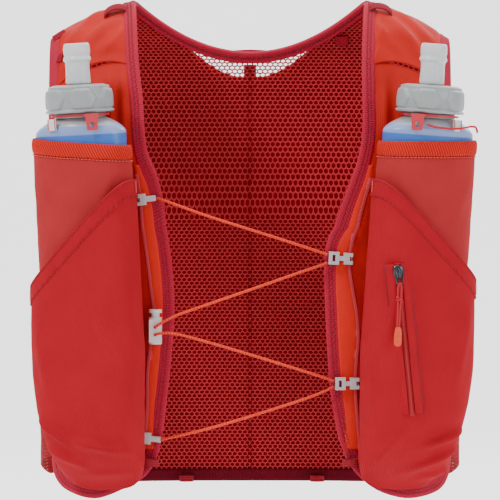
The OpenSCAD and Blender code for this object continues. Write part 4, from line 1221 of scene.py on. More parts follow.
def make_stow_pocket(side):
    top = pocket_top(side, POCKET_ARC) - 0.4
    low = POCKET_LOW - 9 * np.maximum(0, np.cos(np.radians(POCKET_ARC))) ** 0.7
    z = low + (top - low) * np.linspace(0, 1, 110)[:, None]
    t = np.broadcast_to(POCKET_ARC, z.shape)
    relief = pocket_sag(side, t, z) * fade(110, 161, 0.07)
    outer = from_flask(side, pocket_points(side, t, z, 1.2 + relief))
    inner = from_flask(side, pocket_points(side, t, z, relief * 0.9))
    uv = arc_uv(outer, z, side)
    piece = skin(f"stow_pocket_cloth_{named(side)}", outer, inner, uv, materials()["pocket"])
    return finish_piece(piece, "vest", "pocket_twill", f"stow_pocket_{named(side)}")


def make_pocket_mouth(side):
    """The folded mouth of a pocket, a second layer with a soft lower edge."""
    top = pocket_top(side, POCKET_ARC)
    v = np.linspace(0, 1, 22)[:, None]
    z = top - MOUTH * (1 - v)
    t = np.broadcast_to(POCKET_ARC, z.shape)
    ends = np.clip((130 - np.abs(t)) / 12, 0, 1)
    layer = 1.0 * np.clip(v / 0.12, 0, 1) ** 0.5 + 0.5 * np.clip((v - 0.86) / 0.1, 0, 1)
    puck = 0.35 * np.sin(t * 0.62 * 2 * math.pi / 5.2) * np.exp(-((v - 0.14) / 0.12) ** 2)
    grow = 1.0 + (layer + puck) * ends
    outer = from_flask(side, pocket_points(side, t, z, grow + 0.2))
    inner = from_flask(side, pocket_points(side, t, z, np.full(z.shape, 0.1)))
    uv = arc_uv(outer, z, side)
    piece = skin(f"pocket_mouth_cloth_{named(side)}", outer, inner, uv,
                 materials()["pocket_hem"])
    return finish_piece(piece, "vest", "pocket_twill")


def pocket_rows(side):
    """The stitch rows of a pocket's mouth."""
    rows = []
    for drop in (MOUTH - 1.6, 1.6):
        t = POCKET_ARC[12:-12]
        z = pocket_top(side, t) - drop
        a = from_flask(side, pocket_points(side, t, z, 2.35))
        b = from_flask(side, pocket_points(side, t, z, 3.35))
        rows.append((a, unit(b - a)))
    return rows


def bartack_rows(side):
    """Bartacks where each pocket's mouth meets its outer seam."""
    rows = []
    for t0 in (side * 96, side * 74, -side * 92):
        z0 = float(pocket_top(side, np.array(t0))) - 2
        z = np.linspace(z0 - 8, z0, 20)
        t = np.full(20, float(t0))
        a = from_flask(side, pocket_points(side, t, z, 2.7))
        b = from_flask(side, pocket_points(side, t, z, 3.7))
        rows.append((a, unit(b - a)))
    return rows


def hem_rows(side):
    """The stitch row under a sleeve's elastic hem."""
    t = ARC[8:-8]
    z = sleeve_top(side, t) - 12.6
    a = from_flask(side, sleeve_points(t, z, np.full(len(t), 1.7)))
    b = from_flask(side, sleeve_points(t, z, np.full(len(t), 2.7)))
    return [(a, unit(b - a))]


# ---------------------------------------------------------------- flasks

def make_film(side):
    z = np.concatenate([[0, 0.4, 1, 2, 3.5, 6, 10], np.linspace(14, FLASK_H - 12, 60),
                        FLASK_H - 12 + 12 * np.linspace(0.08, 1, 14)])
    low = 0.55 + 0.45 * oval(1 - np.minimum(z, 10) / 10, 2)
    up = np.clip((z - FLASK_H + 12) / 12, 0, 1)
    g = low * (1 - 0.44 * up ** 1.6)
    b = (FLASK_B + (FLASK_A - FLASK_B) * up * 0.6) * g
    turn = np.linspace(0, 2 * math.pi, 113)[:-1]
    dents = 0.7 * bumps(np.sin(turn)[None, :] * 30 + 0 * z[:, None],
                        z[:, None] + 20 * np.cos(turn)[None, :], 11, side)
    dents = np.minimum(dents, 0.15) * np.exp(-((z[:, None] - 183) / 14) ** 2)
    x = (FLASK_A * g[:, None] + dents) * np.cos(turn)
    y = (b[:, None] + dents) * np.sin(turn)
    rings = from_flask(side, np.stack([x, y, np.broadcast_to(z[:, None], x.shape)], -1))
    uv = np.stack([np.broadcast_to(turn * 30, x.shape), np.broadcast_to(z[:, None], x.shape)], -1)
    piece = loft(f"flask_film_{named(side)}", rings, uv, materials()["film", side])
    return finish_piece(piece, "flask_" + word(side), "flask_film", f"flask_{named(side)}")


def word(side):
    return "right" if side < 0 else "left"


def turned(name, side, profile, material, base, shape=None, sides=96):
    """A ring turned round a flask's axis from a closed profile of (radius, height);
    shape changes the radius with the angle."""
    turn = np.linspace(0, 2 * math.pi, sides + 1)[:-1]
    r = np.array([p[0] for p in profile], float)[:, None] * np.ones((1, sides))
    z = np.array([p[1] for p in profile], float)[:, None] * np.ones((1, sides)) + base
    if shape:
        r = shape(r, z - base, turn[None, :])
    rings = np.stack([r * np.cos(turn), r * np.sin(turn), z], -1)
    rings = from_flask(side, rings)
    n = len(profile)
    k = np.arange(n * sides).reshape(n, sides)
    nxt, rnd = np.roll(k, -1, axis=0), np.roll(k, -1, axis=1)
    both = np.roll(nxt, -1, axis=1)
    faces = np.stack([k, rnd, both, nxt], -1).reshape(-1, 4).tolist()
    uv = np.stack([np.broadcast_to(turn * 20, r.shape), z], -1)
    return outward(add_mesh(name, rings.reshape(-1, 3), faces, uv.reshape(-1, 2), material))


def rounded(profile, radius=0.5, steps=4):
    """A closed profile with its corners rounded."""
    p = np.asarray(profile, float)
    out = []
    for a, b, c in zip(np.roll(p, 1, 0), p, np.roll(p, -1, 0)):
        to_a, to_c = a - b, c - b
        la, lc = np.linalg.norm(to_a), np.linalg.norm(to_c)
        cut = min(radius, la * 0.45, lc * 0.45)
        p0, p1 = b + to_a / la * cut, b + to_c / lc * cut
        for t in np.linspace(0, 1, steps):
            out.append((1 - t) ** 2 * p0 + 2 * t * (1 - t) * b + t * t * p1)
    return out


CAP_R, CAP_H = 27.0, 22.0


def make_cap(side):
    def grips(r, z, turn):
        sector = np.degrees((turn + math.pi / 6) % (math.pi / 3) - math.pi / 6)
        tall = np.abs(z - 10.8) / 8.2
        facet = np.clip((25.5 - 12 * tall - np.abs(sector)) / 1.1 + 0.5, 0, 1)
        facet = facet * facet * (3 - 2 * facet) * np.clip((1 - tall) / 0.16, 0, 1)
        flat = r * (1 - np.cos(np.radians(sector))) * 0.25
        outside = np.clip((r - 24.0) / 2.0, 0, 1)
        return r - (1.9 * (1 - facet) * np.clip((z - 1.6) / 1.6, 0, 1) + flat * facet) * outside
    profile = rounded([(20.4, 0.2), (26.0, 0), (27.0, 1.0), (27.0, 2.6), (26.6, 3.2), (26.9, 4.6),
                       (27.0, 6.6), (27.1, 8.7), (27.1, 10.8), (27.0, 12.9), (26.8, 15.0),
                       (26.4, 17.2), (25.4, 19.2), (23.4, 20.8), (19, 22),
                       (14.5, 22), (13.6, 21.3), (11.6, 21.3), (10.8, 22), (7.2, 22),
                       (6.0, 21.2), (6.0, 19.2), (20.4, 19.0)], 0.8)
    piece = turned(f"cap_shell_{named(side)}", side, profile, materials()["cap"], CAP_LOW, grips,
                   144)
    return finish_piece(piece, "cap_" + word(side), "cap_plastic", f"cap_{named(side)}")


def make_valve(side):
    def slit(r, z, turn):
        bore = r < 2.0
        slot = np.where(np.abs(np.cos(turn)) > 0, 3.4 / np.sqrt(
            np.cos(turn) ** 2 + (4.4 * np.sin(turn)) ** 2), 3.4)
        open_at = np.clip((z - 28) / 3, 0, 1)
        return np.where(bore, 1.6 + (slot - 1.6) * open_at, r)
    profile = rounded([(1.6, -5.5), (5.6, -5.5), (5.6, 0.1), (9.4, 0.2), (9.8, 2.0), (9.6, 5.0),
                       (9.4, 14.0), (9.6, 17.4), (10.9, 18.6), (10.9, 20.4), (10.1, 21.6),
                       (10.1, 23.0), (10.5, 24.5), (10.4, 29.0), (9.8, 31.6), (8.6, 32.1),
                       (6.4, 31.6), (6.0, 30.4), (1.6, 30.2), (1.6, 28), (1.6, 10)], 0.9, 4)
    piece = turned(f"bite_valve_{named(side)}", side, profile, materials()["valve"],
                   CAP_LOW + CAP_H + 0.3, slit, 72)
    return finish_piece(piece, "valve_" + word(side), "valve_silicone", f"valve_{named(side)}")


def make_flask_trim(side):
    m = materials()
    r = named(side)
    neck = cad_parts[f"neck_{r}"]
    neck.data.materials.clear()
    neck.data.materials.append(m["cap"])
    ring = softened(f"tether_ring_{r}", f"tether_{r}", 0.35, m["tether"])
    finish_piece(ring, "flask_" + word(side), "tether_plastic", f"tether_{r}")
    u, v = np.meshgrid(np.linspace(-4, 4, 15), np.linspace(0, 9, 12))
    bend = 0.35 * np.sin(v / 9 * math.pi)
    turn = math.radians(side * 16)

    def place(off):
        y = off - bend
        x0, y0 = side * 14, -FLASK_B - 0.7
        x = x0 + u * math.cos(turn) - y * math.sin(turn)
        return from_flask(side, np.stack([x, y0 + u * math.sin(turn) + y * math.cos(turn),
                                          FLASK_H - 9 + v], -1))
    tab = skin(f"ribbon_tab_cloth_{r}", place(-0.55), place(0.35), np.stack([u, v], -1),
               m["ribbon"])
    finish_piece(tab, "flask_" + word(side), "ribbon", f"ribbon_tab_{r}")
    for k, at in enumerate((-3.4, 3.4)):
        line = np.stack([np.full(12, at), np.linspace(0.2, 8.8, 12)], -1)
        y = -0.62 - 0.35 * np.sin(line[:, 1] / 9 * math.pi)
        x = side * 14 + line[:, 0] * math.cos(turn) - y * math.sin(turn)
        p = np.stack([x, -FLASK_B - 0.7 + line[:, 0] * math.sin(turn) + y * math.cos(turn),
                      FLASK_H - 9 + line[:, 1]], -1)
        edge_line = tube(f"ribbon_edge_{r}_{k}", from_flask(side, p), 0.9, m["tether"], 8)
        finish_piece(edge_line, "flask_" + word(side), "ribbon")


TETHER_ROUTE = [(-12.6, -25.6, 190.6), (-6, -26.8, 189.4), (2, -27, 189), (9, -26.9, 189),
                (18, -25.4, 190), (26, -21.4, 191.5), (31.5, -18.4, 191.5),
                (34, -16.4, 189.5), (35, -15.6, 187.2)]


def make_tether_cord():
    route = from_flask(1, smooth(TETHER_ROUTE, 8))
    piece = tube("tether_cord_braid", route, 1.6, materials()["puller_cord"])
    return finish_piece(piece, "flask_left", "elastic_cord", "tether_cord")


# ---------------------------------------------------------------- lacing

LACES = {
    "lace_top": ("hook_upper_right", "hook_upper_left",
                 [(-72.6, -93.8, 237.5), (-62, -97, 234), (-35, -101, 224.5), (-5, -103, 215),
                  (25, -102.5, 205.5), (46, -98.5, 198.5), (56, -95.8, 195),
                  (60.4, -95.2, 193.4)]),
    "lace_lock_upper": (None, "hook_upper_left",
                        [(-74.2, -104.4, 137), (-74, -107.4, 137.2), (-72, -109, 138.8),
                         (-66, -108.6, 142.4), (-56, -107, 147), (-30, -105.5, 156),
                         (5, -104, 168), (40, -100, 180), (54, -97, 184.5),
                         (60.4, -95.2, 187)]),
    "lace_lock_lower": (None, "hook_lower_left",
                        [(-74.2, -104.4, 131), (-73.8, -107.6, 131.2), (-70, -109, 132.4),
                         (-58, -107.6, 132), (-30, -105.5, 124.5), (5, -104, 114),
                         (40, -101, 103), (58, -96.4, 97), (65.4, -94.4, 94.4)]),
    "lace_bottom": ("hook_lower_right", "hook_lower_left",
                    [(-70, -93.8, 48), (-55, -97.5, 51.5), (-30, -101.5, 58), (5, -103, 68.5),
                     (40, -100, 79.5), (58, -96.6, 86), (65.4, -94.4, 89.6)]),
}


def down(points):
    return np.asarray(points, float) - [0, 0, SHOULDER_H]


def make_lace(name):
    """A lacing run in two halves; a half with no hook rides with the vest."""
    first, last, route = LACES[name]
    path = down(smooth(route, 10))
    size = sizes().cord_d / MM
    half = len(path) // 2
    parts = [("a", path[:half + 1], first), ("b", path[half:], last)]
    for tag, part, hook in parts:
        piece = tube(f"{name}_cord_{tag}", part, size, materials()["cord"])
        if hook:
            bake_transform(piece)
        else:
            finish_piece(piece, "vest", "elastic_cord")
        if tag == "a":
            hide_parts(name)


def make_hardware():
    m = materials()
    for node, body in (("hook_upper_r", "hook_upper_right"), ("hook_lower_r", "hook_lower_right"),
                       ("hook_upper_l", "hook_upper_left"), ("hook_lower_l", "hook_lower_left")):
        piece = softened(f"{node}_moulding", node, 0.5, m["hook"])
        finish_piece(piece, body, "hook_plastic", node)
    body = softened("lock_body_moulding", "lock_body", 0.8, m["lock"])
    finish_piece(body, "vest", "lock_plastic", "lock_body")
    plunger = softened("lock_plunger_moulding", "lock_plunger", 0.7, m["lock"])
    finish_piece(plunger, "plunger", "lock_plastic", "lock_plunger")
    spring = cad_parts["lock_spring"]
    spring.data.materials.clear()
    spring.data.materials.append(m["spring"])


# ---------------------------------------------------------------- zip

ZIP_TOP, ZIP_END = np.array([-30, -24.6, 82.0]), np.array([-7.5, -22.7, -35.0])
COIL_LIFT = 5.6


def zip_points(points):
    """Points of the zip's own frame (z up the zip, -y off the pocket) in the vest's frame."""
    d = (ZIP_END - ZIP_TOP) / np.linalg.norm(ZIP_END - ZIP_TOP)
    ry = math.asin(-d[0])
    rx = math.asin(d[1] / math.cos(ry))
    turn = (Matrix.Rotation(ry, 3, "Y") @ Matrix.Rotation(rx, 3, "X")
            @ Matrix.Rotation(math.radians(-14), 3, "Z"))
    local = np.asarray(points, float) @ np.array(turn).T + ZIP_TOP
    return from_flask(1, local)


def make_zip():
    m = materials()
    share = np.linspace(0, 1, 90)[:, None]
    z = ZIP_TOP[2] - 2 + (ZIP_END[2] - ZIP_TOP[2] + 2) * share
    x = ZIP_TOP[0] + (ZIP_END[0] - ZIP_TOP[0]) * share
    w = np.linspace(-5, 5, 11)[None, :]
    t = -np.degrees(np.arcsin(np.clip(-(x + w) / 42, 0, 1) ** 1.5))
    zz = np.broadcast_to(z, t.shape)
    uv = np.stack([np.broadcast_to(w, t.shape), zz], -1)
    tape = skin("zip_tape_cloth", from_flask(1, pocket_points(1, t, zz, 2.5 + 0 * t)),
                from_flask(1, pocket_points(1, t, zz, 1.3 + 0 * t)), uv, m["tape"])
    finish_piece(tape, "vest", "zip_tape", "zip_tape")
    length = np.linalg.norm(ZIP_END - ZIP_TOP)
    run = np.linspace(0, -length, 60)
    for k, at in enumerate((-0.85, 0.85)):
        centre = zip_points(np.stack([np.full(60, at), np.full(60, -COIL_LIFT), run], -1))
        up = zip_points(np.stack([np.full(60, at), np.full(60, -COIL_LIFT - 1), run], -1)) - centre
        coil = lines(f"zip_coil_{k}", [centre], [unit(up)])
        run_tree(coil, coil_tree(), Pitch=1.5 * MM, Tooth=2.3 * MM, Wire=1.0 * MM,
                 Material=m["coil"])
        finish_piece(coil, "vest", "zip_coil", *(["zip_coil"] if k == 0 else []))
    core = tube("zip_coil_core", zip_points(np.stack([np.zeros(60), np.full(60, -COIL_LIFT),
                                                      run], -1)), 1.0, m["coil"], 8)
    finish_piece(core, "vest", "zip_coil")
    # flaps that fold up to the coil on either side
    for k, w0 in enumerate((-1, 1)):
        rows = []
        for across, rise in ((2.1, 5.0), (2.6, 5.5), (3.6, 5.5), (5.4, 4.6), (7.6, 3.2), (9.4, 2.3),
                             (10.4, 1.7)):
            xx = np.full(60, w0 * across)
            wave = 0.25 * np.sin(run / 7 + across)
            rows.append(zip_points(np.stack([xx, -np.full(60, rise) - wave * 0.6, run * 0.995], -1)))
        outer = np.stack(rows, 1)
        rows = [zip_points(np.stack([np.full(60, w0 * (a * 0.98)), -np.full(60, r - 1.0),
                                     run * 0.995], -1))
                for a, r in ((2.2, 5.0), (2.6, 5.2), (3.6, 5.1), (5.4, 4.4), (7.6, 3.0), (9.4, 2.1),
                             (10.4, 1.5))]
        inner = np.stack(rows, 1)
        uv = np.stack(np.meshgrid(np.arange(7) * 1.6, run), -1)
        flap = skin(f"zip_flap_{k}", outer, inner, uv, m["pocket_hem"])
        finish_piece(flap, "vest", "pocket_twill")
        seam = tube(f"zip_seam_{k}", outer[:, -2] * 0.5 + outer[:, -1] * 0.5, 0.9, m["thread"], 8)
        finish_piece(seam, "vest", "pocket_twill")
    make_slider()
    make_puller()


def make_slider():
    """A domed casting with a bridge for the puller's bail."""
    m = materials()
    turn = np.linspace(0, 2 * math.pi, 33)[:-1]
    rings = []
    for z in np.linspace(0, 11, 23):
        close = max(0.12, 1 - abs((z - 5.7) / 5.8) ** 3) ** 0.5
        wide = (4.5 - 0.12 * (z - 4) ** 2 * (z < 4)) * close
        rings.append(np.stack([wide * np.cos(turn), -0.9 + 2.0 * close * np.sin(turn),
                               np.full(32, z)], -1))
    rings = zip_points(np.array(rings) + [0, -COIL_LIFT, -12])
    uv = np.zeros(rings.shape[:2] + (2,))
    dome = loft("zip_slider_dome", rings, uv, m["metal"])
    finish_piece(dome, "slider", "slider_metal", "zip_slider")
    arch = smooth([(0, -2.2, 1.6), (0, -4.0, 2.4), (0, -4.6, 5), (0, -4.2, 7.8), (0, -2.4, 9)], 6)
    bridge = tube("zip_slider_bridge", zip_points(arch + [0, -COIL_LIFT, -12]), 1.7, m["metal"])
    finish_piece(bridge, "slider", "slider_metal")


def make_puller():
    """The puller: a wire bail, a knotted cord and a soft tab."""
    m = materials()
    low = -12.0

    def at(points):
        return zip_points(np.asarray(points, float) + [0, -COIL_LIFT, low])
    bail = [(-2.9, -2.75, 4.6), (-2.9, -2.9, 1), (-2.4, -2.9, -2.6), (-0.8, -2.9, -3.6),
            (0.8, -2.9, -3.6), (2.4, -2.9, -2.6), (2.9, -2.9, 1), (2.9, -2.75, 4.6)]
    wire = tube("puller_bail", at(smooth(bail, 6)), 1.2, m["metal"], 10)
    finish_piece(wire, "zip_puller", "slider_metal", "zip_pull")
    pin = tube("puller_pin", at([(-2.9, -2.75, 4.6), (0, -2.75, 4.6), (2.9, -2.75, 4.6)]), 1.1,
               m["metal"], 10)
    finish_piece(pin, "zip_puller", "slider_metal")
    lean = math.radians(8)

    def hang(x, y, z):
        return (x * math.cos(lean) + z * math.sin(lean), -2.9 + y,
                -3.6 + z * math.cos(lean) - x * math.sin(lean))
    for k, side in enumerate((-1, 1)):
        route = [hang(side * 0.2, 0, 1.2), hang(side * 1.5, 0.1, -3), hang(side * 1.2, 0, -9),
                 hang(side * 0.9, 0, -17), hang(side * 0.8, 0, -33)]
        strand = tube(f"puller_cord_{k}", at(smooth(route, 8)), 1.5, m["puller_cord"], 10)
        finish_piece(strand, "zip_puller", "elastic_cord")
    a = np.linspace(0, 4 * math.pi, 60)
    knot = [hang(2.1 * math.sin(t), 1.7 * math.cos(1.5 * t), -12 - 2.4 + 4.8 * i / 59)
            for i, t in enumerate(a)]
    finish_piece(tube("puller_knot", at(knot), 1.5, m["puller_cord"], 8), "zip_puller",
                 "elastic_cord")
    turn = np.linspace(0, 2 * math.pi, 33)[:-1]
    rings = []
    for v in np.linspace(-1, 1, 25):
        close = (1 - abs(v) ** 7) ** 0.5 if abs(v) < 1 else 0.12
        wide = (3.1 - 0.5 * v * v + 0.35 * v) * max(close, 0.12)
        thick = 1.15 * max(close, 0.12) * (1 + 0.12 * math.sin(v * 16))
        rings.append([hang(wide * np.sign(math.cos(t)) * abs(math.cos(t)) ** 0.6,
                           thick * np.sign(math.sin(t)) * abs(math.sin(t)) ** 0.8, -41 - 8 * v)
                      for t in turn])
    rings = at(np.array(rings)[::-1])
    uv = np.zeros(rings.shape[:2] + (2,))
    finish_piece(loft("puller_tab", rings, uv, m["rubber"]), "zip_puller", "pull_rubber")


# ---------------------------------------------------------------- loops

def make_shoulder_loop(side):
    x, s = (-106 if side < 0 else 103), s_angle(76)
    a = np.linspace(0, math.pi, 40)[:, None]
    w = np.linspace(-6, 6, 13)[None, :]

    def arch(rx, rz, base):
        q = np.stack([x + rx * np.cos(a) + 0 * w, s + w + 0 * a], -1)
        return lift(q, base + rz * np.sin(a) + 0 * w)
    base = PANEL_T + 1.2
    outer, inner = arch(8.5, 5, base + 0.3), arch(7.3, 3.8, base + 0.2)
    uv = np.stack([w + 0 * a, a * 8 + 0 * w], -1)
    piece = skin(f"shoulder_loop_tape_{named(side)}", outer, inner, uv, materials()["webbing"])
    return finish_piece(piece, "vest", "webbing", f"shoulder_loop_{named(side)}")


def make_side_tabs():
    """The two small webbing tabs on the outside of the right shoulder."""
    m = materials()
    for name, x, s, turn, long, wide in (("shoulder_tab_r", -150, s_angle(80), 8, 15, 9),
                                         ("arm_tab_r", -146, s_angle(58), -40, 12, 5)):
        v = np.linspace(-long / 2, long / 2, 17)[:, None]
        w = np.linspace(-wide / 2, wide / 2, 9)[None, :]
        c, d = math.cos(math.radians(turn)), math.sin(math.radians(turn))
        q = np.stack([x + w * c - v * d, s + w * d + v * c], -1)
        rise = PANEL_T + 0.6 + 2.2 * np.cos(math.pi * v / long) ** 2 + 0 * w
        uv = np.stack([w + 0 * v, v + 0 * w], -1)
        tab = skin(name, lift(q, rise + 1.1), lift(q, rise), uv, m["webbing"])
        finish_piece(tab, "vest", "webbing")


def ring_loop(name, node, r, thick, slot):
    """A short loop of webbing around its node's own upright axis, slightly slack."""
    low, high = (np.array(v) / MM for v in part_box(node))
    centre = (low + high) / 2
    turn = np.linspace(0, 2 * math.pi, 49)[:-1]
    rows = np.linspace(low[2], high[2], 9)

    def wall(radius):
        out = radius * (1 + 0.04 * np.sin(2 * turn + 0.6))
        return np.stack([np.stack([centre[0] + out * np.cos(turn), centre[1] + out * np.sin(turn),
                                   np.full(48, z)], -1) for z in rows], 0)
    outer, inner = wall(r + thick * 0.96), wall(r)
    rings = np.concatenate([outer, inner[::-1]], 0)
    n = len(rings)
    k = np.arange(n * 48).reshape(n, 48)
    nxt, rnd = np.roll(k, -1, axis=0), np.roll(k, -1, axis=1)
    faces = np.stack([k, rnd, np.roll(nxt, -1, axis=1), nxt], -1).reshape(-1, 4).tolist()
    uv = np.stack([np.broadcast_to(np.concatenate([rows, rows[::-1]])[:, None], (n, 48)),
                   np.broadcast_to(turn * r, (n, 48))], -1)
    piece = outward(add_mesh(name, rings.reshape(-1, 3), faces, uv.reshape(-1, 2),
                             materials()["webbing"]))
    return finish_piece(piece, "vest", slot, node)


def make_rear_loops():
    """Two bungee loops under the back hem."""
    for k, x in enumerate((-52.0, 55.0)):
        centre = lift(np.array([x, BACK_BOTTOM + BINDING]), np.array(-6.8))
        turn = np.linspace(0, 2 * math.pi, 49)[:-1]
        z = np.linspace(0, 5, 8)
        walls = []
        for r, up in ((5.75, 1), (4.65, -1)):
            ring = np.stack([centre[0] + r * np.cos(turn), centre[1] + r * np.sin(turn),
                             0 * turn], -1)
            walls += [ring + [0, 0, centre[2] + h] for h in z[::up]]
        rings = np.array(walls)
        n = len(rings)
        i = np.arange(n * 48).reshape(n, 48)
        nxt, rnd = np.roll(i, -1, axis=0), np.roll(i, -1, axis=1)
        faces = np.stack([i, rnd, np.roll(nxt, -1, axis=1), nxt], -1).reshape(-1, 4).tolist()
        uv = np.stack([rings[..., 2], np.broadcast_to(turn * 5, (n, 48))], -1)
        piece = outward(add_mesh(f"rear_loop_tape_{k}", rings.reshape(-1, 3), faces,
                                 uv.reshape(-1, 2), materials()["webbing"]))
        finish_piece(piece, "vest", "webbing", *(["rear_loops"] if k == 0 else []))


# ---------------------------------------------------------------- stage

def aim(thing, target):
    thing.rotation_mode = "QUATERNION"
    thing.rotation_quaternion = (Vector(target) - thing.location).to_track_quat("-Z", "Y")


# name, place and width in metres, and watts; "back" lights the backdrop
LAMPS = (("key", (-1.7, -1.3, 1.9), 0.6, 52), ("fill", (1.9, -1.3, 0.5), 1.0, 16),
         ("top", (0.1, 0.2, 2.1), 1.4, 30), ("rim", (1.4, 1.5, 0.9), 0.8, 12),
         ("back", (0, 1.2, 1.9), 2.6, 150))
CAMERA_AWAY = 5.0       # metres from the vest
CAMERA_RISE = 3         # degrees above level
LENS = 451              # millimetres, on a sensor 36 wide


def make_stage():
    """A pale floor that curves up behind, soft lights and the camera."""
    scene = bpy.context.scene
    y = np.concatenate([np.linspace(-6, 2.2, 12), 2.2 + 1.6 * np.sin(np.linspace(0.1, 1.5, 16)),
                        [3.9, 3.95]])
    z = np.concatenate([np.zeros(12), 1.6 - 1.6 * np.cos(np.linspace(0.1, 1.5, 16)), [3, 6.0]])
    z = z - 0.52
    x = np.linspace(-7, 7, 3)
    grid = np.stack([np.broadcast_to(x[None, :], (30, 3)), np.broadcast_to(y[:, None], (30, 3)),
                     np.broadcast_to(z[:, None], (30, 3))], -1)
    k = np.arange(90).reshape(30, 3)
    faces = np.stack([k[:-1, :-1], k[:-1, 1:], k[1:, 1:], k[1:, :-1]], -1).reshape(-1, 4)
    floor = add_mesh("floor", grid.reshape(-1, 3) / MM, faces.tolist())
    # floor: plain warm white paper, matt, so that it only catches soft shadow
    paper, _, _ = blank("floor, white paper", Base_Color=linear("#F4F4F4"), Roughness=0.95)
    floor.data.materials.append(paper)
    world = bpy.data.worlds.new("studio")
    world.use_nodes = True
    world.node_tree.nodes["Background"].inputs[0].default_value = (1, 1, 1, 1)
    world.node_tree.nodes["Background"].inputs[1].default_value = 0.66
    scene.world = world
    target = (0, 0, -0.2)
    for name, place, width, watts in LAMPS:
        light = bpy.data.lights.new(name, "AREA")
        light.size, light.energy = width, watts
        lamp = bpy.data.objects.new(name, light)
        lamp.location = place
        scene.collection.objects.link(lamp)
        aim(lamp, (0, 3.4, 0.3) if name == "back" else target)
    camera = bpy.data.objects.new("camera", bpy.data.cameras.new("camera"))
    scene.collection.objects.link(camera)
    camera.data.sensor_width, camera.data.lens = 36, LENS
    rise = math.radians(CAMERA_RISE)
    middle = Vector((0, 0, 190 * MM - SHOULDER_H * MM + 0.002))
    camera.location = middle + Vector((0, -CAMERA_AWAY * math.cos(rise), CAMERA_AWAY * math.sin(rise)))
    aim(camera, middle)
    camera.data.clip_start, camera.data.clip_end = 0.1, 30
    scene.camera = camera


# ---------------------------------------------------------------- operators

class VEST_OT_front(bpy.types.Operator):
    """Front panels, yokes, knit strips and side panels"""
    bl_idname = "vest.front"
    bl_label = "Front panels"

    def execute(self, context):
        for side in (-1, 1):
            make_front_panel(side)
            make_yoke(side)
            make_knit_strip(side)
            make_side_panel(side)
        return {"FINISHED"}


class VEST_OT_bindings(bpy.types.Operator):
    """Edge bindings and lacing rails"""
    bl_idname = "vest.bindings"
    bl_label = "Bindings and rails"

    def execute(self, context):
        make_neck_binding()
        for side in (-1, 1):
            make_front_binding(side)
            make_arm_binding(side)
            make_rail(side)
        return {"FINISHED"}


class VEST_OT_back(bpy.types.Operator):
    """Honeycomb back mesh, outer shell, hem, strap and hang loop"""
    bl_idname = "vest.back"
    bl_label = "Back"

    def execute(self, context):
        for side in (-1, 1):
            make_back_net(side)
        make_back_shell()
        make_back_trim()
        return {"FINISHED"}


class VEST_OT_pockets(bpy.types.Operator):
    """Flask sleeves with their hems, and the stow pockets"""
    bl_idname = "vest.pockets"
    bl_label = "Sleeves and pockets"

    def execute(self, context):
        for side in (-1, 1):
            make_sleeve(side)
            make_sleeve_hem(side)
            make_stow_pocket(side)
            make_pocket_mouth(side)
        return {"FINISHED"}


class VEST_OT_flasks(bpy.types.Operator):
    """Soft flasks with caps, bite valves, tethers and ribbon tabs"""
    bl_idname = "vest.flasks"
    bl_label = "Flasks"

    def execute(self, context):
        for side in (-1, 1):
            make_film(side)
            make_cap(side)
            make_valve(side)
            make_flask_trim(side)
        make_tether_cord()
        return {"FINISHED"}


class VEST_OT_lacing(bpy.types.Operator):
    """Lacing cord, its hooks and the cord lock"""
    bl_idname = "vest.lacing"
    bl_label = "Lacing"

    def execute(self, context):
        for name in LACES:
            make_lace(name)
        make_hardware()
        return {"FINISHED"}


class VEST_OT_zip(bpy.types.Operator):
    """Zip of the left stow pocket, with its slider and puller"""
    bl_idname = "vest.zip"
    bl_label = "Zip"

    def execute(self, context):
        make_zip()
        return {"FINISHED"}


class VEST_OT_loops(bpy.types.Operator):
    """Webbing loops on the shoulders and hems"""
    bl_idname = "vest.loops"
    bl_label = "Loops"

    def execute(self, context):
        for side in (-1, 1):
            make_shoulder_loop(side)
            ring_loop(f"pole_loop_tape_{named(side)}", f"pole_loop_{named(side)}", 5, 1.4,
                      "webbing")
        make_side_tabs()
        make_rear_loops()
        return {"FINISHED"}


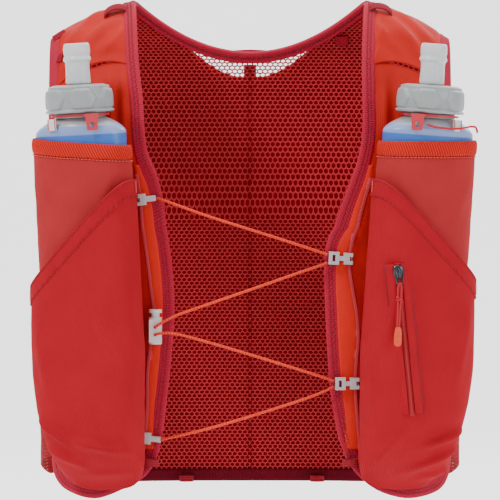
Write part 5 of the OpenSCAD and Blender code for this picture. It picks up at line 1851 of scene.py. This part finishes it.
class VEST_OT_stitches(bpy.types.Operator):
    """Stitch rows on the bindings, seams and pocket mouths, and the bartacks"""
    bl_idname = "vest.stitches"
    bl_label = "Stitches"

    def execute(self, context):
        rows = [row for side in (-1, 1) for row in edge_rows(side)]
        sew("stitches_front", rows, "thread", "edge_binding", 2.1, 0.8)
        sew("stitches_neck", [on_torso(neckline(d)[3:-3], -0.9) for d in (4.2, 5.8)],
            "thread", "edge_binding", 2.1, 0.8)
        sew("stitches_mouth", [r for side in (-1, 1) for r in pocket_rows(side)], "thread",
            "pocket_twill", 3.2)
        sew("stitches_hem", [r for side in (-1, 1) for r in hem_rows(side)], "bright_thread",
            "rib_knit", 3.0)
        sew("bartacks", [r for side in (-1, 1) for r in bartack_rows(side)], "bright_thread",
            "pocket_twill", 0.75, 1.35)
        return {"FINISHED"}


class VEST_OT_stage(bpy.types.Operator):
    """Floor, lights and camera"""
    bl_idname = "vest.stage"
    bl_label = "Stage"

    def execute(self, context):
        make_stage()
        return {"FINISHED"}


class VEST_PT_panel(bpy.types.Panel):
    """The vest's sizes, colours and steps"""
    bl_label = "Running vest"
    bl_idname = "VEST_PT_panel"
    bl_space_type = "VIEW_3D"
    bl_region_type = "UI"
    bl_category = "Vest"

    def draw(self, context):
        for group in (context.scene.vest_sizes, context.scene.vest_colours):
            box = self.layout.box()
            for name in group.__annotations__:
                box.prop(group, name)
        for step in STEPS:
            self.layout.operator(step.bl_idname)


STEPS = (VEST_OT_front, VEST_OT_bindings, VEST_OT_back, VEST_OT_pockets, VEST_OT_flasks,
         VEST_OT_lacing, VEST_OT_zip, VEST_OT_loops, VEST_OT_stitches, VEST_OT_stage)
CLASSES = (VestSizes, VestColours) + STEPS + (VEST_PT_panel,)


def register():
    for kind in CLASSES:
        bpy.utils.register_class(kind)
    bpy.types.Scene.vest_sizes = bpy.props.PointerProperty(type=VestSizes)
    bpy.types.Scene.vest_colours = bpy.props.PointerProperty(type=VestColours)


def unregister():
    del bpy.types.Scene.vest_colours
    del bpy.types.Scene.vest_sizes
    for kind in reversed(CLASSES):
        bpy.utils.unregister_class(kind)


def main():
    register()
    for step in STEPS:
        group, name = step.bl_idname.split(".")
        getattr(getattr(bpy.ops, group), name)()


if __name__ == "__main__":
    main()
